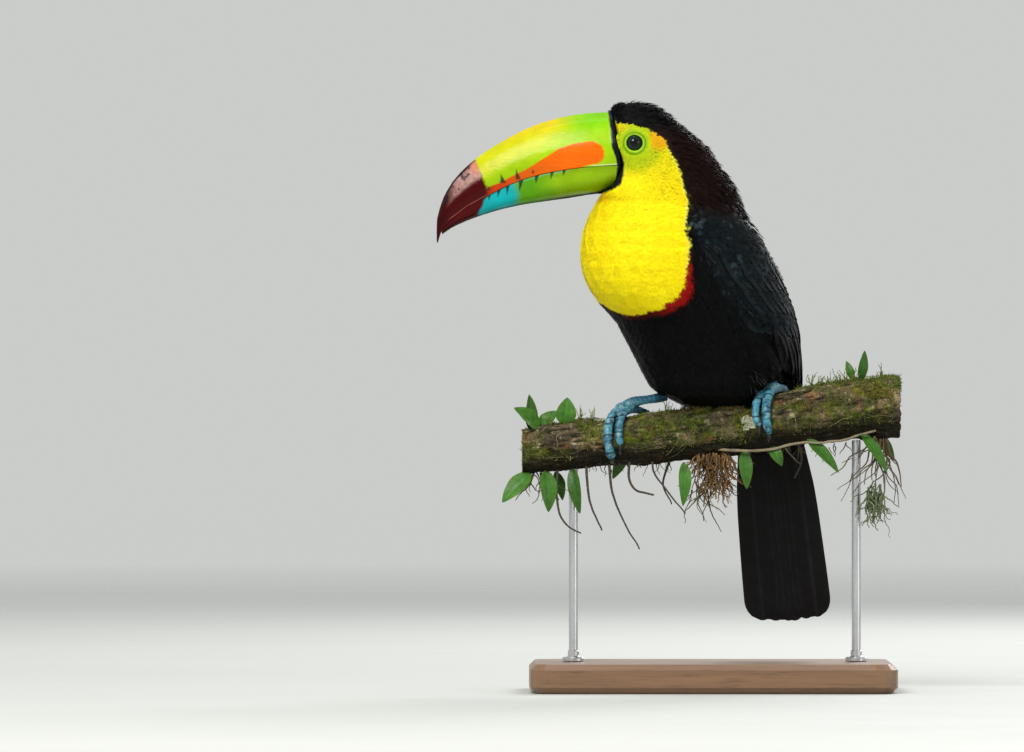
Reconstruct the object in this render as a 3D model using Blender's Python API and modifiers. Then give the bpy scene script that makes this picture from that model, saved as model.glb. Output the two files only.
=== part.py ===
"""A life-size keel-billed toucan on a cut length of branch, held by a plain display stand.

Metres, +Z up. +X runs along the perch towards the bird's left foot, and the bill points along -X.
-Y is the side that the bird's chest and toes face. The origin is the centre of the stand's underside.
Tables of sizes are in millimetres and degrees, and MM turns them into metres.
"""

import math
from collections import namedtuple

import bmesh
import bpy
import numpy as np
from mathutils import Matrix, Vector

MM = 0.001
GAP = 0.4 * MM          # clearance between neighbouring pieces
CUT = 0.35 * MM         # thickness of the cuts that part the body
CRUMB = 20              # a cut can leave crumbs, with fewer points than this

# --- The body: horizontal levels, from the crown down to the tail coverts -------------------------------------------
# z, x, y: centre of the level. heading: how far its front is turned from -Y towards -X.
# front, back, side: its radii. square: 2 is an ellipse, more is blunter.
Level = namedtuple("Level", "z x y heading front back side square")
BODY_LEVELS = (
    Level(411.4, -55, -25, 88, 3, 4, 3, 2.0),       # crown feathers
    Level(409.2, -53, -25, 88, 12, 12, 10, 2.1),
    Level(403.8, -51, -25, 88, 22, 18, 17, 2.3),
    Level(396.0, -47, -25, 88, 31, 22.5, 21.5, 2.4),  # brow
    Level(382.0, -40, -25, 88, 38, 34, 24.5, 2.5),  # eyes
    Level(365.0, -33, -25, 87, 42, 39, 27, 2.4),    # cheeks
    Level(350.0, -29, -25, 84, 48, 45.5, 32, 2.3),  # jaw
    Level(334.0, -29, -24, 74, 58, 54, 40, 2.2),    # throat
    Level(314.0, -29, -22, 62, 67, 63, 47, 2.1),    # crop
    Level(292.0, -25, -17, 55, 72, 71, 51, 2.1),    # breast
    Level(273.0, -18, -10, 50, 70, 72, 52, 2.1),
    Level(260.0, -10, -4, 48, 63.5, 68, 51, 2.1),   # hem of the bib
    Level(244.0, -3, 3, 45, 63, 64, 49, 2.1),       # belly
    Level(226.0, 3, 9, 42, 60, 61, 46, 2.1),
    Level(212.0, 6.5, 13, 40, 58.5, 57, 41, 2.1),   # vent
    Level(203.0, 10, 18, 38, 50, 48, 36, 2.1),
    Level(195.0, 26, 31, 32, 27, 29, 29, 2.1),      # rump
    Level(185.0, 37, 38.5, 26, 11, 16, 27, 2.1),
    Level(170.0, 42.5, 41, 22, 8, 9, 25.5, 2.1),    # ends of the tail coverts
)
# Below the belly the folded wings leave the body and close over the rump.
WING_LEVELS = BODY_LEVELS[:14] + (
    Level(212.0, 8, 13, 40, 56, 56, 43, 2.1),
    Level(195.0, 22, 24, 34, 46, 42, 37, 2.1),
    Level(178.0, 36, 33, 28, 30, 26, 31, 2.1),
    Level(158.0, 43, 39, 22, 12, 12.5, 25, 2.1),
)
BODY_RINGS, BODY_SIDES = 25, 26

# Planes that part the body: a point on the plane, and its slope down towards -X
HEAD_NECK = (Vector((-40, 0, 352)) * MM, math.radians(12))
NECK_TRUNK = (Vector((-30, 0, 306)) * MM, math.radians(24))
TRUNK_RUMP = (Vector((24, 26, 203)) * MM, math.radians(-16))

# --- The bill, in the plane of the head ------------------------------------------------------------------------------
# ahead, up: from the corner of the mouth. Each station has a point on the ridge, the mouth line and the lower edge.
HEAD_HEADING = math.radians(88)
MOUTH_CORNER = Vector((-66, -25, 366.8)) * MM
Station = namedtuple("Station", "ridge mouth keel upper_half lower_half")
BILL_STATIONS = (
    Station((4.7, 37.6), (-1.8, 0), (4.7, -14.5), 18.6, 16.6),
    Station((30, 35.7), (23, -1.4), (24.3, -21), 17.6, 15.6),
    Station((58, 28.4), (49, -5.3), (47.4, -24.5), 15.2, 13.2),
    Station((82.4, 16.1), (72, -11.9), (68.4, -27.7), 12.6, 10.8),
    Station((100.6, 3.9), (90, -20.7), (86, -31.9), 10.2, 8.4),
    Station((113.9, -9.1), (105.5, -29.2), (103, -37.6), 7.8, 6.0),
    Station((122.3, -23.1), (117, -37.8), (116, -43.4), 5.2, 3.6),
    Station((126.8, -38.5), (123.4, -45.8), (122.6, -48), 2.6, 1.5),
)
HOOK_TIP = (126.3, -53.6)
BILL_RINGS = 16

EYE_RADIUS = 7.2 * MM
EYE_PLACE = Vector((-55.6, 0, 382.2)) * MM
EYE_ASIDE = 19.2 * MM    # from the head's middle plane to the eye's centre

# --- The perch: x, height of its axis, radius ------------------------------------------------------------------------
PERCH = (
    (-133, 166.8, 16.2), (-78, 173.2, 17.0), (-36, 177.0, 17.8), (0, 181.2, 18.8),
    (40, 187.3, 19.2), (75, 193.8, 19.9), (104, 197.4, 21.4), (131, 198.5, 22.2),
)
PERCH_KNOTS = ((-112, 1.6, 9), (-46, 1.0, 12), (6, 1.3, 11), (74, 1.5, 10), (112, 1.8, 9))   # x, swelling, half-length
PERCH_RINGS, PERCH_SIDES = 20, 14

# --- Feet: along the perch (x), round it (angle from its top, towards -Y), from the toe's root to the claw ------------
Toe = namedtuple("Toe", "name x_root x_mid x_end turn_root turn_end radius")
FEET = {
    "right": dict(
        hollows=(),
        pad=(-63, 5), ankle=Vector((-32, 2, 209)) * MM, knee=Vector((-46, 0, 204.5)) * MM,
        toes=(
            Toe("outer", -65.5, -77, -70, 6, 122, 3.2),
            Toe("inner", -61, -66.5, -64.5, 8, 96, 2.9),
            Toe("hind_outer", -65, -76, -80, 2, -108, 3.0),
            Toe("hind_inner", -60, -46, -40, 4, -74, 2.8),
        ),
    ),
    "left": dict(
        hollows=(((42, -3, 208), (20, 20, 14)), ((47, 19, 198), (15.5, 16, 20.5))),
        pad=(42, 4), ankle=Vector((38, 18, 236)) * MM, knee=Vector((41, 10, 224)) * MM,
        toes=(
            Toe("inner", 40, 30.5, 32.5, 7, 92, 2.9),
            Toe("outer", 43, 37.5, 39.5, 8, 108, 3.2),
            Toe("hind_inner", 41, 42, 41, 2, -88, 2.8),
            Toe("hind_outer", 45, 53, 54, 3, -92, 3.0),
        ),
    ),
}
PAD_RADII = (6.4, 5.2, 4.6)
SHANK_RADIUS = 4.3 * MM
CLAW_TURN = 26          # how far a claw runs on round the perch
CLAW_RADIUS = 1.9 * MM

# --- Tail: ten feathers, fanned in a plane, with the outer ones in front -----------------------------------------------
TAIL_ROOT = Vector((42, 39.5, 190)) * MM
TAIL_TIP = Vector((57.5, 53, 47.5)) * MM
TAIL_HEADING = math.radians(22)
TAIL_PAIRS = 5
TAIL_ROOT_HALF, TAIL_MID_HALF, TAIL_TIP_HALF = 22 * MM, 30 * MM, 33 * MM
TAIL_VANE = 13 * MM      # half the width of one feather's round tip
TAIL_ROUND = 16 * MM     # how far back the round tip starts
TAIL_STEP = 0.5 * MM     # depth from one feather to the next
TAIL_THICK = 1.7 * MM
TAIL_ROOF = 3.5 * MM     # how far the edges bend forward
TAIL_SHORTER = 6.0 * MM  # the outer feathers are this much shorter
TAIL_COLUMNS = 27

# --- Wings: where the folded wing lies on the body --------------------------------------------------------------------
# z, leading edge and trailing edge as angles from the front, thickness
WING_STATIONS = (
    (341, 104, 136, 1.2), (331, 90, 150, 4.0), (310, 86, 156, 6.4), (284, 86, 161, 7.2), (258, 94, 165, 7.2),
    (232, 112, 169, 6.4), (208, 132, 171, 5.2), (186, 142, 171, 3.8), (166, 148, 168, 2.6), (160, 152, 164, 1.6),
)
WING_RINGS, WING_STRIPS = 13, 8
WING_EDGE = 1.0          # thickness along the wing's edges
WING_BED = 1.5 * MM      # the wing is made this deep into the body, which then cuts its own shape out of it

# --- Stand ------------------------------------------------------------------------------------------------------------
BASE_SIZE = Vector((256, 168, 20)) * MM
BASE_EDGE = 4 * MM
ROD_RADIUS = 3.2 * MM
ROD_PLACES = {"left": -97 * MM, "right": 101 * MM}

COLOURS = {
    "plumage_black": ((0.012, 0.012, 0.016), 0.6, 0.0),
    "plumage_yellow": ((0.92, 0.78, 0.02), 0.7, 0.0),
    "bill": ((0.45, 0.72, 0.05), 0.28, 0.0),
    "eye": ((0.01, 0.015, 0.01), 0.06, 0.0),
    "foot": ((0.16, 0.48, 0.66), 0.5, 0.0),
    "claw": ((0.02, 0.02, 0.025), 0.35, 0.0),
    "bark": ((0.24, 0.20, 0.10), 0.9, 0.0),
    "stand_wood": ((0.33, 0.20, 0.11), 0.5, 0.0),
    "stand_steel": ((0.55, 0.55, 0.56), 0.3, 1.0),
}


def clear_scene():
    for obj in list(bpy.data.objects):
        bpy.data.objects.remove(obj)


def make_collection(name):
    collection = bpy.data.collections.new(name)
    bpy.context.scene.collection.children.link(collection)
    return collection


def make_material(name):
    colour, roughness, metallic = COLOURS[name]
    material = bpy.data.materials.get(name) or bpy.data.materials.new(name)
    material.use_nodes = True
    shader = material.node_tree.nodes["Principled BSDF"]
    shader.inputs["Base Color"].default_value = (*colour, 1)
    shader.inputs["Roughness"].default_value = roughness
    shader.inputs["Metallic"].default_value = metallic
    return material


def add_object(name, mesh, material=None):
    obj = bpy.data.objects.new(name, mesh)
    TOUCAN.objects.link(obj)
    if material:
        mesh.materials.clear()
        mesh.materials.append(make_material(material))
        mesh.shade_smooth()
        mesh.set_sharp_from_angle(angle=math.radians(50))
    return obj


def smooth_table(rows, at, count):
    """Rows of numbers run through smoothly: `at` names the column that orders them. Returns `count` rows, evenly spaced."""
    rows = np.array(rows, float)
    places = np.linspace(rows[0, at], rows[-1, at], count)
    return np.array([smooth_row(rows, at, place) for place in places])


def smooth_row(rows, at, place):
    """One row of a table, at any place along its ordering column, by cubic Hermite steps."""
    rows = np.array(rows, float)
    order = rows[:, at] if rows[-1, at] > rows[0, at] else -rows[:, at]
    place = place if rows[-1, at] > rows[0, at] else -place
    slopes = np.gradient(rows, order, axis=0)
    i = int(np.clip(np.searchsorted(order, place) - 1, 0, len(rows) - 2))
    width = order[i + 1] - order[i]
    t = (place - order[i]) / width
    return (
        (2 * t**3 - 3 * t**2 + 1) * rows[i]
        + (t**3 - 2 * t**2 + t) * width * slopes[i]
        + (3 * t**2 - 2 * t**3) * rows[i + 1]
        + (t**3 - t**2) * width * slopes[i + 1]
    )


def loft(name, rings, material=None):
    """A closed mesh through rings of equal length, with both ends filled."""
    bm = bmesh.new()
    loops = [[bm.verts.new(point) for point in ring] for ring in rings]
    for low, high in zip(loops, loops[1:]):
        for i in range(len(low)):
            j = (i + 1) % len(low)
            bm.faces.new((low[i], low[j], high[j], high[i]))
    bm.faces.new(reversed(loops[0]))
    bm.faces.new(loops[-1])
    bmesh.ops.remove_doubles(bm, verts=bm.verts, dist=1e-6)
    bmesh.ops.recalc_face_normals(bm, faces=bm.faces)
    # A twisted quad has two ways to fold, so each is fixed here and a cutter folds as its piece does.
    bmesh.ops.triangulate(bm, faces=bm.faces, quad_method="FIXED")
    mesh = bpy.data.meshes.new(name)
    bm.to_mesh(mesh)
    bm.free()
    return add_object(name, mesh, material)


def tube(name, points, radii, material=None, resolution=2, extra=0.0):
    """A curve with a round section of changing radius, made into a closed mesh, and grown by `extra` all over."""
    first, last = points[0] - points[1], points[-1] - points[-2]
    points = [points[0] + first.normalized() * extra, *points[1:-1], points[-1] + last.normalized() * extra]
    curve = bpy.data.curves.new(name, "CURVE")
    curve.dimensions = "3D"
    curve.bevel_depth = 1.0
    curve.bevel_resolution = resolution
    curve.use_fill_caps = True
    spline = curve.splines.new("POLY")
    spline.points.add(len(points) - 1)
    for point, place, radius in zip(spline.points, points, radii):
        point.co = (*place, 1)
        point.radius = radius + extra
    return solid_from_curve(name, curve, material)


def solid_from_curve(name, curve, material):
    source = bpy.data.objects.new(name + "_curve", curve)
    TOUCAN.objects.link(source)
    graph = bpy.context.evaluated_depsgraph_get()
    mesh = bpy.data.meshes.new_from_object(source.evaluated_get(graph))
    bm = bmesh.new()
    bm.from_mesh(mesh)
    bmesh.ops.remove_doubles(bm, verts=bm.verts, dist=1e-6)
    bmesh.ops.recalc_face_normals(bm, faces=bm.faces)
    bm.to_mesh(mesh)
    bm.free()
    bpy.data.objects.remove(source)
    return add_object(name, mesh, material)


def ball(name, centre, radii, segments, rings, material=None):
    bm = bmesh.new()
    shape = Matrix.Translation(centre) @ Matrix.Diagonal((*radii, 1))
    bmesh.ops.create_uvsphere(bm, u_segments=segments, v_segments=rings, radius=1, matrix=shape)
    mesh = bpy.data.meshes.new(name)
    bm.to_mesh(mesh)
    bm.free()
    return add_object(name, mesh, material)


def grown(source, distance):
    """A helper: a copy of a piece, grown by the clearance, that cuts its neighbours."""
    copy = source.copy()
    copy.data = source.data.copy()
    copy.name = source.name + "_cutter"
    for vertex, normal in zip(copy.data.vertices, [v.normal.copy() for v in source.data.vertices]):
        vertex.co += normal * distance
    keep_as_cutter(copy)
    return copy


def keep_as_cutter(obj):
    for collection in obj.users_collection:
        collection.objects.unlink(obj)
    CUTTERS.objects.link(obj)
    obj.hide_render = True
    obj.display_type = "WIRE"


def combine(target, others, operation, solver="EXACT"):
    """Applies one Boolean for each other object to the target's mesh."""
    for other in others:
        modifier = target.modifiers.new(operation.lower(), "BOOLEAN")
        modifier.operation = operation
        modifier.object = other
        modifier.solver = solver
    graph = bpy.context.evaluated_depsgraph_get()
    mesh = bpy.data.meshes.new_from_object(target.evaluated_get(graph))
    target.modifiers.clear()
    target.data = mesh


def unite(target, others):
    combine(target, others, "UNION")
    for other in others:
        bpy.data.objects.remove(other)


# --- Body -------------------------------------------------------------------------------------------------------------
def ring_point(level, angle, lift=0.0):
    """A point of a level, at an angle from its front towards the bird's left, `lift` metres outside it."""
    level = Level(*level)
    heading = math.radians(level.heading)
    ahead = Vector((-math.sin(heading), -math.cos(heading), 0))
    left = Vector((math.cos(heading), -math.sin(heading), 0))
    power = 2 / level.square
    c, s = math.cos(angle), math.sin(angle)
    reach = (level.front if c > 0 else level.back) * MM + lift
    along = math.copysign(abs(c) ** power, c) * reach
    aside = math.copysign(abs(s) ** power, s) * (level.side * MM + lift)
    return Vector((level.x, level.y, level.z)) * MM + ahead * along + left * aside


def make_body():
    rows = smooth_table(BODY_LEVELS, 0, BODY_RINGS)
    # The crown's dome needs closer rings than the rest.
    heights = sorted([*rows[1:, 0], 410.9, 410.0, 408.0], reverse=True)
    angles = [2 * math.pi * i / BODY_SIDES for i in range(BODY_SIDES)]
    top = [ring_point(BODY_LEVELS[0], a) for a in angles]
    rings = [[ring_point(smooth_row(BODY_LEVELS, 0, z), a) for a in angles] for z in heights]
    return loft("body", [top, *rings])


def part_body(body):
    """Thin cuts across the body, and each piece named from the top down."""
    for name, (place, slope) in (("head", HEAD_NECK), ("neck", NECK_TRUNK), ("rump", TRUNK_RUMP)):
        bpy.ops.mesh.primitive_cube_add(size=1, location=place, rotation=(0, -slope, 0))
        plate = bpy.context.object
        plate.name = name + "_cut"
        plate.scale = (0.4, 0.4, CUT)
        bpy.context.view_layer.update()
        keep_as_cutter(plate)
    plates = [CUTTERS.objects[n + "_cut"] for n in ("head", "neck", "rump")]
    combine(body, plates, "DIFFERENCE", "MANIFOLD")
    bpy.context.view_layer.objects.active = body
    body.select_set(True)
    bpy.ops.object.mode_set(mode="EDIT")
    bpy.ops.mesh.select_all(action="SELECT")
    bpy.ops.mesh.separate(type="LOOSE")
    bpy.ops.object.mode_set(mode="OBJECT")
    pieces = []
    for piece in list(bpy.context.selected_objects):
        if len(piece.data.vertices) < CRUMB:
            bpy.data.objects.remove(piece)
        else:
            pieces.append(piece)

    def middle(piece):
        heights = [v.co.z for v in piece.data.vertices]
        return sum(heights) / len(heights)

    pieces.sort(key=middle, reverse=True)
    for piece, (name, material) in zip(
        pieces,
        (("head", "plumage_black"), ("neck", "plumage_yellow"), ("trunk", "plumage_black"), ("rump", "plumage_black")),
    ):
        piece.name = name
        piece.data.materials.clear()
        piece.data.materials.append(make_material(material))
    return pieces


# --- Bill and eyes ----------------------------------------------------------------------------------------------------
def bill_place(ahead, up, aside):
    """From the bill's own measures, in millimetres, to the frame."""
    front = Vector((-math.sin(HEAD_HEADING), -math.cos(HEAD_HEADING), 0))
    left = Vector((math.cos(HEAD_HEADING), -math.sin(HEAD_HEADING), 0))
    return MOUTH_CORNER + (front * ahead + left * aside + Vector((0, 0, up))) * MM


def bill_stations():
    rows = [[i, *s.ridge, *s.mouth, *s.keel, s.upper_half, s.lower_half] for i, s in enumerate(BILL_STATIONS)]
    return smooth_table(rows, 0, BILL_RINGS)[:, 1:]


def upper_section(row, steps=8):
    """Half a ring of the upper mandible: from the mouth line, out over its swollen side and up to the keeled ridge."""
    ridge, mouth, half = row[0:2], row[2:4], row[6]
    for k in range(steps):
        h = k / (steps - 1)
        swell = (1 - h**3.2) ** 0.62 * (0.93 + 0.10 * math.sin(math.pi * min(1, h * 1.6)))
        keel = 0.10 * math.exp(-(((h - 0.93) / 0.06) ** 2))
        yield (*(mouth + (ridge - mouth) * h), half * (swell + keel) if h < 1 else 0.0)


def lower_section(row, steps=6):
    """Half a ring of the lower mandible: from the mouth line down to its rounded lower edge."""
    mouth, keel, half = row[2:4], row[4:6], row[7]
    for k in range(steps):
        h = k / (steps - 1)
        yield (*(mouth + (keel - mouth) * h), half * (1 - h**2.6) ** 0.5 if h < 1 else 0.0)


def mandible(name, section, gap, tip):
    rings = []
    for row in bill_stations():
        half = list(section(row))
        half[0] = (half[0][0], half[0][1] + gap, half[0][2])
        right = [bill_place(a, u, -w) for a, u, w in reversed(half[:-1])]
        rings.append([bill_place(a, u, w) for a, u, w in half] + right)
    if tip:
        middle = sum(rings[-1], Vector()) / len(rings[-1])
        end = bill_place(*tip, 0)
        rings.append([end + (point - middle) * 0.22 for point in rings[-1]])
    return loft(name, rings, "bill")


def make_bill():
    upper = mandible("bill_upper", upper_section, 0.15, HOOK_TIP)
    lower = mandible("bill_lower", lower_section, -0.25, None)
    return [upper, lower]


def make_bill_room():
    """A cutter that ends the face at the bill's rim, and leaves the throat under the lower mandible."""
    rows = bill_stations()[:8]
    clear = 1.5 * GAP / MM
    ridge, mouth, keel = rows[0, 0:2], rows[0, 2:4], rows[0, 4:6]
    top = ridge + (ridge - mouth) * 0.5
    outline = [top, (rows[-1, 0], top[1]), *(row[4:6] for row in rows[:0:-1]), keel, mouth]
    outline = [(point[0], point[1] - clear) for point in outline]
    for corner in (0, -2, -1):
        outline[corner] = (outline[corner][0] - clear, outline[corner][1])
    room = loft("bill_room", [[bill_place(*point, aside) for point in outline] for aside in (-40, 40)])
    keep_as_cutter(room)
    return room


def make_eyes():
    middle = Vector((0, MOUTH_CORNER.y, 0))
    left = Vector((math.cos(HEAD_HEADING), -math.sin(HEAD_HEADING), 0))
    radii = (EYE_RADIUS, EYE_RADIUS, EYE_RADIUS)
    return [
        ball("eye_" + side, EYE_PLACE + middle + left * EYE_ASIDE * way, radii, 12, 8, "eye")
        for side, way in (("left", 1), ("right", -1))
    ]


# --- Perch and feet ---------------------------------------------------------------------------------------------------
def perch_row(x):
    """Height of the perch's axis and its radius, at x, in metres."""
    _, z, radius = smooth_row(PERCH, 0, x / MM)
    for place, swelling, length in PERCH_KNOTS:
        radius += swelling * math.exp(-(((x / MM - place) / length) ** 2))
    return z * MM, radius * MM


def round_perch(x, turn, lift):
    """A point `lift` metres off the bark, `turn` degrees from the top of the perch towards -Y."""
    z, radius = perch_row(x)
    angle = math.radians(turn)
    return Vector((x, -(radius + lift) * math.sin(angle), z + (radius + lift) * math.cos(angle)))


def make_perch():
    rings = []
    for x in np.linspace(PERCH[0][0], PERCH[-1][0], PERCH_RINGS) * MM:
        turns = [360 * i / PERCH_SIDES for i in range(PERCH_SIDES)]
        wave = [0.5 * MM * math.sin(math.radians(3 * t) + 40 * x) for t in turns]
        rings.append([round_perch(x, t, w) for t, w in zip(turns, wave)])
    return loft("perch", rings, "bark")


def joint_swell(t, joints=3.5):
    """Toes are thicker at their joints."""
    return 1 + 0.1 * math.cos(2 * math.pi * joints * t)


def toe_point(toe, t, lift):
    bow = 4 * t * (1 - t)
    x = toe.x_root * (1 - t) + toe.x_end * t + bow * (toe.x_mid - (toe.x_root + toe.x_end) / 2)
    return round_perch(x * MM, toe.turn_root + (toe.turn_end - toe.turn_root) * t, lift)


def make_toe(name, toe, extra, steps=9):
    points, radii = [], []
    for k in range(steps):
        t = k / (steps - 1)
        radius = toe.radius * MM * (1.12 - 0.3 * t) * joint_swell(t)
        points.append(toe_point(toe, t, GAP * 1.6 + radius))
        radii.append(radius)
    return tube(name, points, radii, extra=extra)


def make_claw(name, toe, steps=6):
    way = math.copysign(1, toe.turn_end - toe.turn_root)
    points, radii = [], []
    for k in range(steps):
        t = k / (steps - 1)
        turn = toe.turn_end + way * CLAW_TURN * t
        radius = CLAW_RADIUS * (1 - 0.86 * t**1.3)
        lift = GAP + radius + 1.5 * MM * math.sin(math.pi * min(1, t + 0.15))
        points.append(round_perch(toe.x_end * MM, turn, lift))
        radii.append(radius)
    return tube(name, points, radii, "claw", 1)


def foot_pieces(side, extra):
    """The pad, shank and toes of one foot, each grown by `extra`."""
    spec = FEET[side]
    x, turn = spec["pad"]
    pad_centre = round_perch(x * MM, turn, 5.2 * MM)
    pad_radii = [size * MM + 4 * extra for size in PAD_RADII]
    pad = ball("pad_" + side, pad_centre, pad_radii, 10, 7)
    bend = pad_centre.lerp(spec["knee"], 0.5) + Vector((0, 0, 1.2 * MM))
    path = [(i, *p) for i, p in enumerate((pad_centre, bend, spec["knee"], spec["ankle"]))]
    points = [Vector(row[1:]) for row in smooth_table(path, 0, 8)]
    shank = tube("shank_" + side, points, [SHANK_RADIUS - 0.1 * MM * k for k in range(8)], extra=extra)
    toes = [make_toe(f"toe_{side}_{toe.name}", toe, extra) for toe in spec["toes"]]
    return [pad, shank, *toes]


def make_leg(side):
    """Returns the cutters that make room for the leg in the body."""
    spec = FEET[side]
    cutters = foot_pieces(side, GAP)
    leg, *others = foot_pieces(side, 0)
    unite(leg, others)
    leg.name = "leg_" + side
    leg.data.materials.clear()
    leg.data.materials.append(make_material("foot"))
    for toe in spec["toes"]:
        combine(make_claw(f"claw_{side}_{toe.name}", toe), cutters, "DIFFERENCE")
    pad_room, shank_room, *_ = cutters
    hollows = [
        ball(f"hollow_{side}_{i}", Vector(place) * MM, Vector(radii) * MM, 10, 7)
        for i, (place, radii) in enumerate(spec["hollows"])
    ]
    for cutter in cutters + hollows:
        keep_as_cutter(cutter)
    return [pad_room, shank_room, *hollows]


# --- Tail and wings ---------------------------------------------------------------------------------------------------
def tail_axes():
    down = (TAIL_TIP - TAIL_ROOT).normalized()
    ahead = Vector((-math.sin(TAIL_HEADING), -math.cos(TAIL_HEADING), 0))
    ahead = (ahead - down * ahead.dot(down)).normalized()
    return down, ahead, ahead.cross(down)


def tail_length(aside_tip):
    """Where the fan ends, `aside_tip` metres from its middle: the longest of the feathers' round tips there."""
    full = (TAIL_TIP - TAIL_ROOT).length
    longest = 0
    for k in range(2 * TAIL_PAIRS):
        place = (k / (2 * TAIL_PAIRS - 1) * 2 - 1) * (TAIL_TIP_HALF - TAIL_VANE * 0.95)
        off = min(abs(aside_tip - place) / TAIL_VANE, 0.999)
        own = full - TAIL_SHORTER * (place / TAIL_TIP_HALF) ** 2
        longest = max(longest, own - TAIL_ROUND * (1 - math.sqrt(1 - off**2.2)))
    return longest


def make_tail(name="tail", extra=0.0):
    """Each ring runs down the front of the fan and back up behind it, and the rings go from edge to edge."""
    down, ahead, aside = tail_axes()
    rings = []
    for column in range(TAIL_COLUMNS):
        u = -1 + 2 * column / (TAIL_COLUMNS - 1)
        feather = min(abs(u) * TAIL_PAIRS, TAIL_PAIRS - 0.01)
        step = TAIL_STEP * (math.floor(feather) - 0.7 * (feather % 1)) + TAIL_ROOF * u * u
        thick = TAIL_THICK * (0.35 if abs(u) == 1 else 1) + 2 * extra
        length = tail_length(u * TAIL_TIP_HALF)
        front, back = [], []
        for t in (0, 0.35, 0.7, 0.92, 1):
            half = TAIL_ROOT_HALF + (TAIL_MID_HALF - TAIL_ROOT_HALF) * min(1, t / 0.35)
            half += (TAIL_TIP_HALF - TAIL_MID_HALF) * max(0, (t - 0.35) / 0.65) + extra
            place = TAIL_ROOT + down * (length * t - extra) + aside * half * u + ahead * step
            own = thick * (0.5 if t == 1 else 1)
            front.append(place + ahead * own / 2)
            back.append(place - ahead * own / 2)
        rings.append(front + back[::-1])
    return loft(name, rings, "plumage_black")


def make_wing(side, way):
    rings = []
    for z, lead, trail, thick in smooth_table(WING_STATIONS, 0, WING_RINGS):
        level = smooth_row(WING_LEVELS, 0, z)
        outer, inner = [], []
        for k in range(WING_STRIPS + 1):
            v = k / WING_STRIPS
            angle = way * math.radians(lead + (trail - lead) * v)
            crown = (1 - abs(2 * v - 1) ** 3) ** 0.5
            outer.append(ring_point(level, angle, GAP + (WING_EDGE + max(thick - WING_EDGE, 0) * crown) * MM))
            inner.append(ring_point(level, angle, -WING_BED))
        rings.append(outer + inner[::-1])
    return loft("wing_" + side, rings, "plumage_black")


# --- Stand ------------------------------------------------------------------------------------------------------------
def make_stand(perch_cutter):
    bpy.ops.mesh.primitive_cube_add(size=1, location=(0, 0, BASE_SIZE.z / 2))
    base = bpy.context.object
    base.name = "stand_base"
    base.data.transform(Matrix.Diagonal((*BASE_SIZE, 1)))
    base.data.materials.append(make_material("stand_wood"))
    upright = [e for e in base.data.edges if abs(base.data.vertices[e.vertices[0]].co.z - base.data.vertices[e.vertices[1]].co.z) > MM]
    bm = bmesh.new()
    bm.from_mesh(base.data)
    bm.edges.ensure_lookup_table()
    bmesh.ops.bevel(bm, geom=[bm.edges[e.index] for e in upright], offset=16 * MM, segments=4, profile=0.5, affect="EDGES")
    bm.to_mesh(base.data)
    bm.free()
    edge = base.modifiers.new("edge", "BEVEL")
    edge.width = BASE_EDGE
    edge.segments = 1
    edge.limit_method = "ANGLE"
    edge.angle_limit = math.radians(60)
    for side, x in ROD_PLACES.items():
        top, _ = perch_row(x)
        foot = BASE_SIZE.z + 0.3 * MM
        bpy.ops.mesh.primitive_cylinder_add(
            vertices=20, radius=ROD_RADIUS, depth=top - foot, location=(x, 0, (top + foot) / 2)
        )
        rod = bpy.context.object
        rod.name = "stand_rod_" + side
        rod.data.materials.append(make_material("stand_steel"))
        rod.data.transform(rod.matrix_world)
        rod.matrix_world = Matrix.Identity(4)
        combine(rod, [perch_cutter], "DIFFERENCE")


def main():
    perch = make_perch()
    perch_cutter = grown(perch, GAP)
    body = make_body()
    bill = make_bill()
    eyes = make_eyes()
    leg_cutters = [cutter for side in FEET for cutter in make_leg(side)]
    make_tail()
    tail_room = make_tail("tail_room", GAP)
    keep_as_cutter(tail_room)
    body_room = grown(body, GAP)
    for side, way in (("left", 1), ("right", -1)):
        combine(make_wing(side, way), [body_room], "DIFFERENCE")
    neighbours = [make_bill_room(), tail_room, perch_cutter, *(grown(piece, GAP) for piece in (*bill, *eyes))]
    # The exact solver loses slivers where several cutters meet, and this one keeps them.
    combine(body, [*neighbours, *leg_cutters], "DIFFERENCE", "MANIFOLD")
    part_body(body)
    make_stand(perch_cutter)


clear_scene()
TOUCAN = make_collection("toucan")
CUTTERS = make_collection("cutters")
main()
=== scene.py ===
"""The looks of a life-size keel-billed toucan on a cut branch and a display stand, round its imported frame.

Metres, +Z up, in the frame's axes. The bill points along -X, and the bird's left side faces -Y.
Tables of sizes are in millimetres and degrees, and MM turns them into metres. Colours are linear RGB.
"""

import math

import bmesh
import bpy
import numpy as np
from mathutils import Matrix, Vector
from mathutils.bvhtree import BVHTree


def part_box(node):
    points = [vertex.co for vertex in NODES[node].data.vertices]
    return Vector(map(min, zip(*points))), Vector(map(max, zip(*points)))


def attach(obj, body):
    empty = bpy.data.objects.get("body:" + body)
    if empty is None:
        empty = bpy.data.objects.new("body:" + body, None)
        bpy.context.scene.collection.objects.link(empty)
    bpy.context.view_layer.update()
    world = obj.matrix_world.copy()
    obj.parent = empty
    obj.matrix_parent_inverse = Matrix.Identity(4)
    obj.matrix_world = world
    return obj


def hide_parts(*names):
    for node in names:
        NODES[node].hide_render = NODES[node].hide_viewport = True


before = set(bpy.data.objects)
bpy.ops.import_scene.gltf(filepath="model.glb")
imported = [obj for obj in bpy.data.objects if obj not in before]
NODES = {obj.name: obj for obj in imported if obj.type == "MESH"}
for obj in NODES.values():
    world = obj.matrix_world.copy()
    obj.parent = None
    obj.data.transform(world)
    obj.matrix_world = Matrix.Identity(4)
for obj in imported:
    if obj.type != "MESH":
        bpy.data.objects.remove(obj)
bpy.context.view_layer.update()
MM = 0.001
rng = np.random.default_rng(11)

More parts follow.
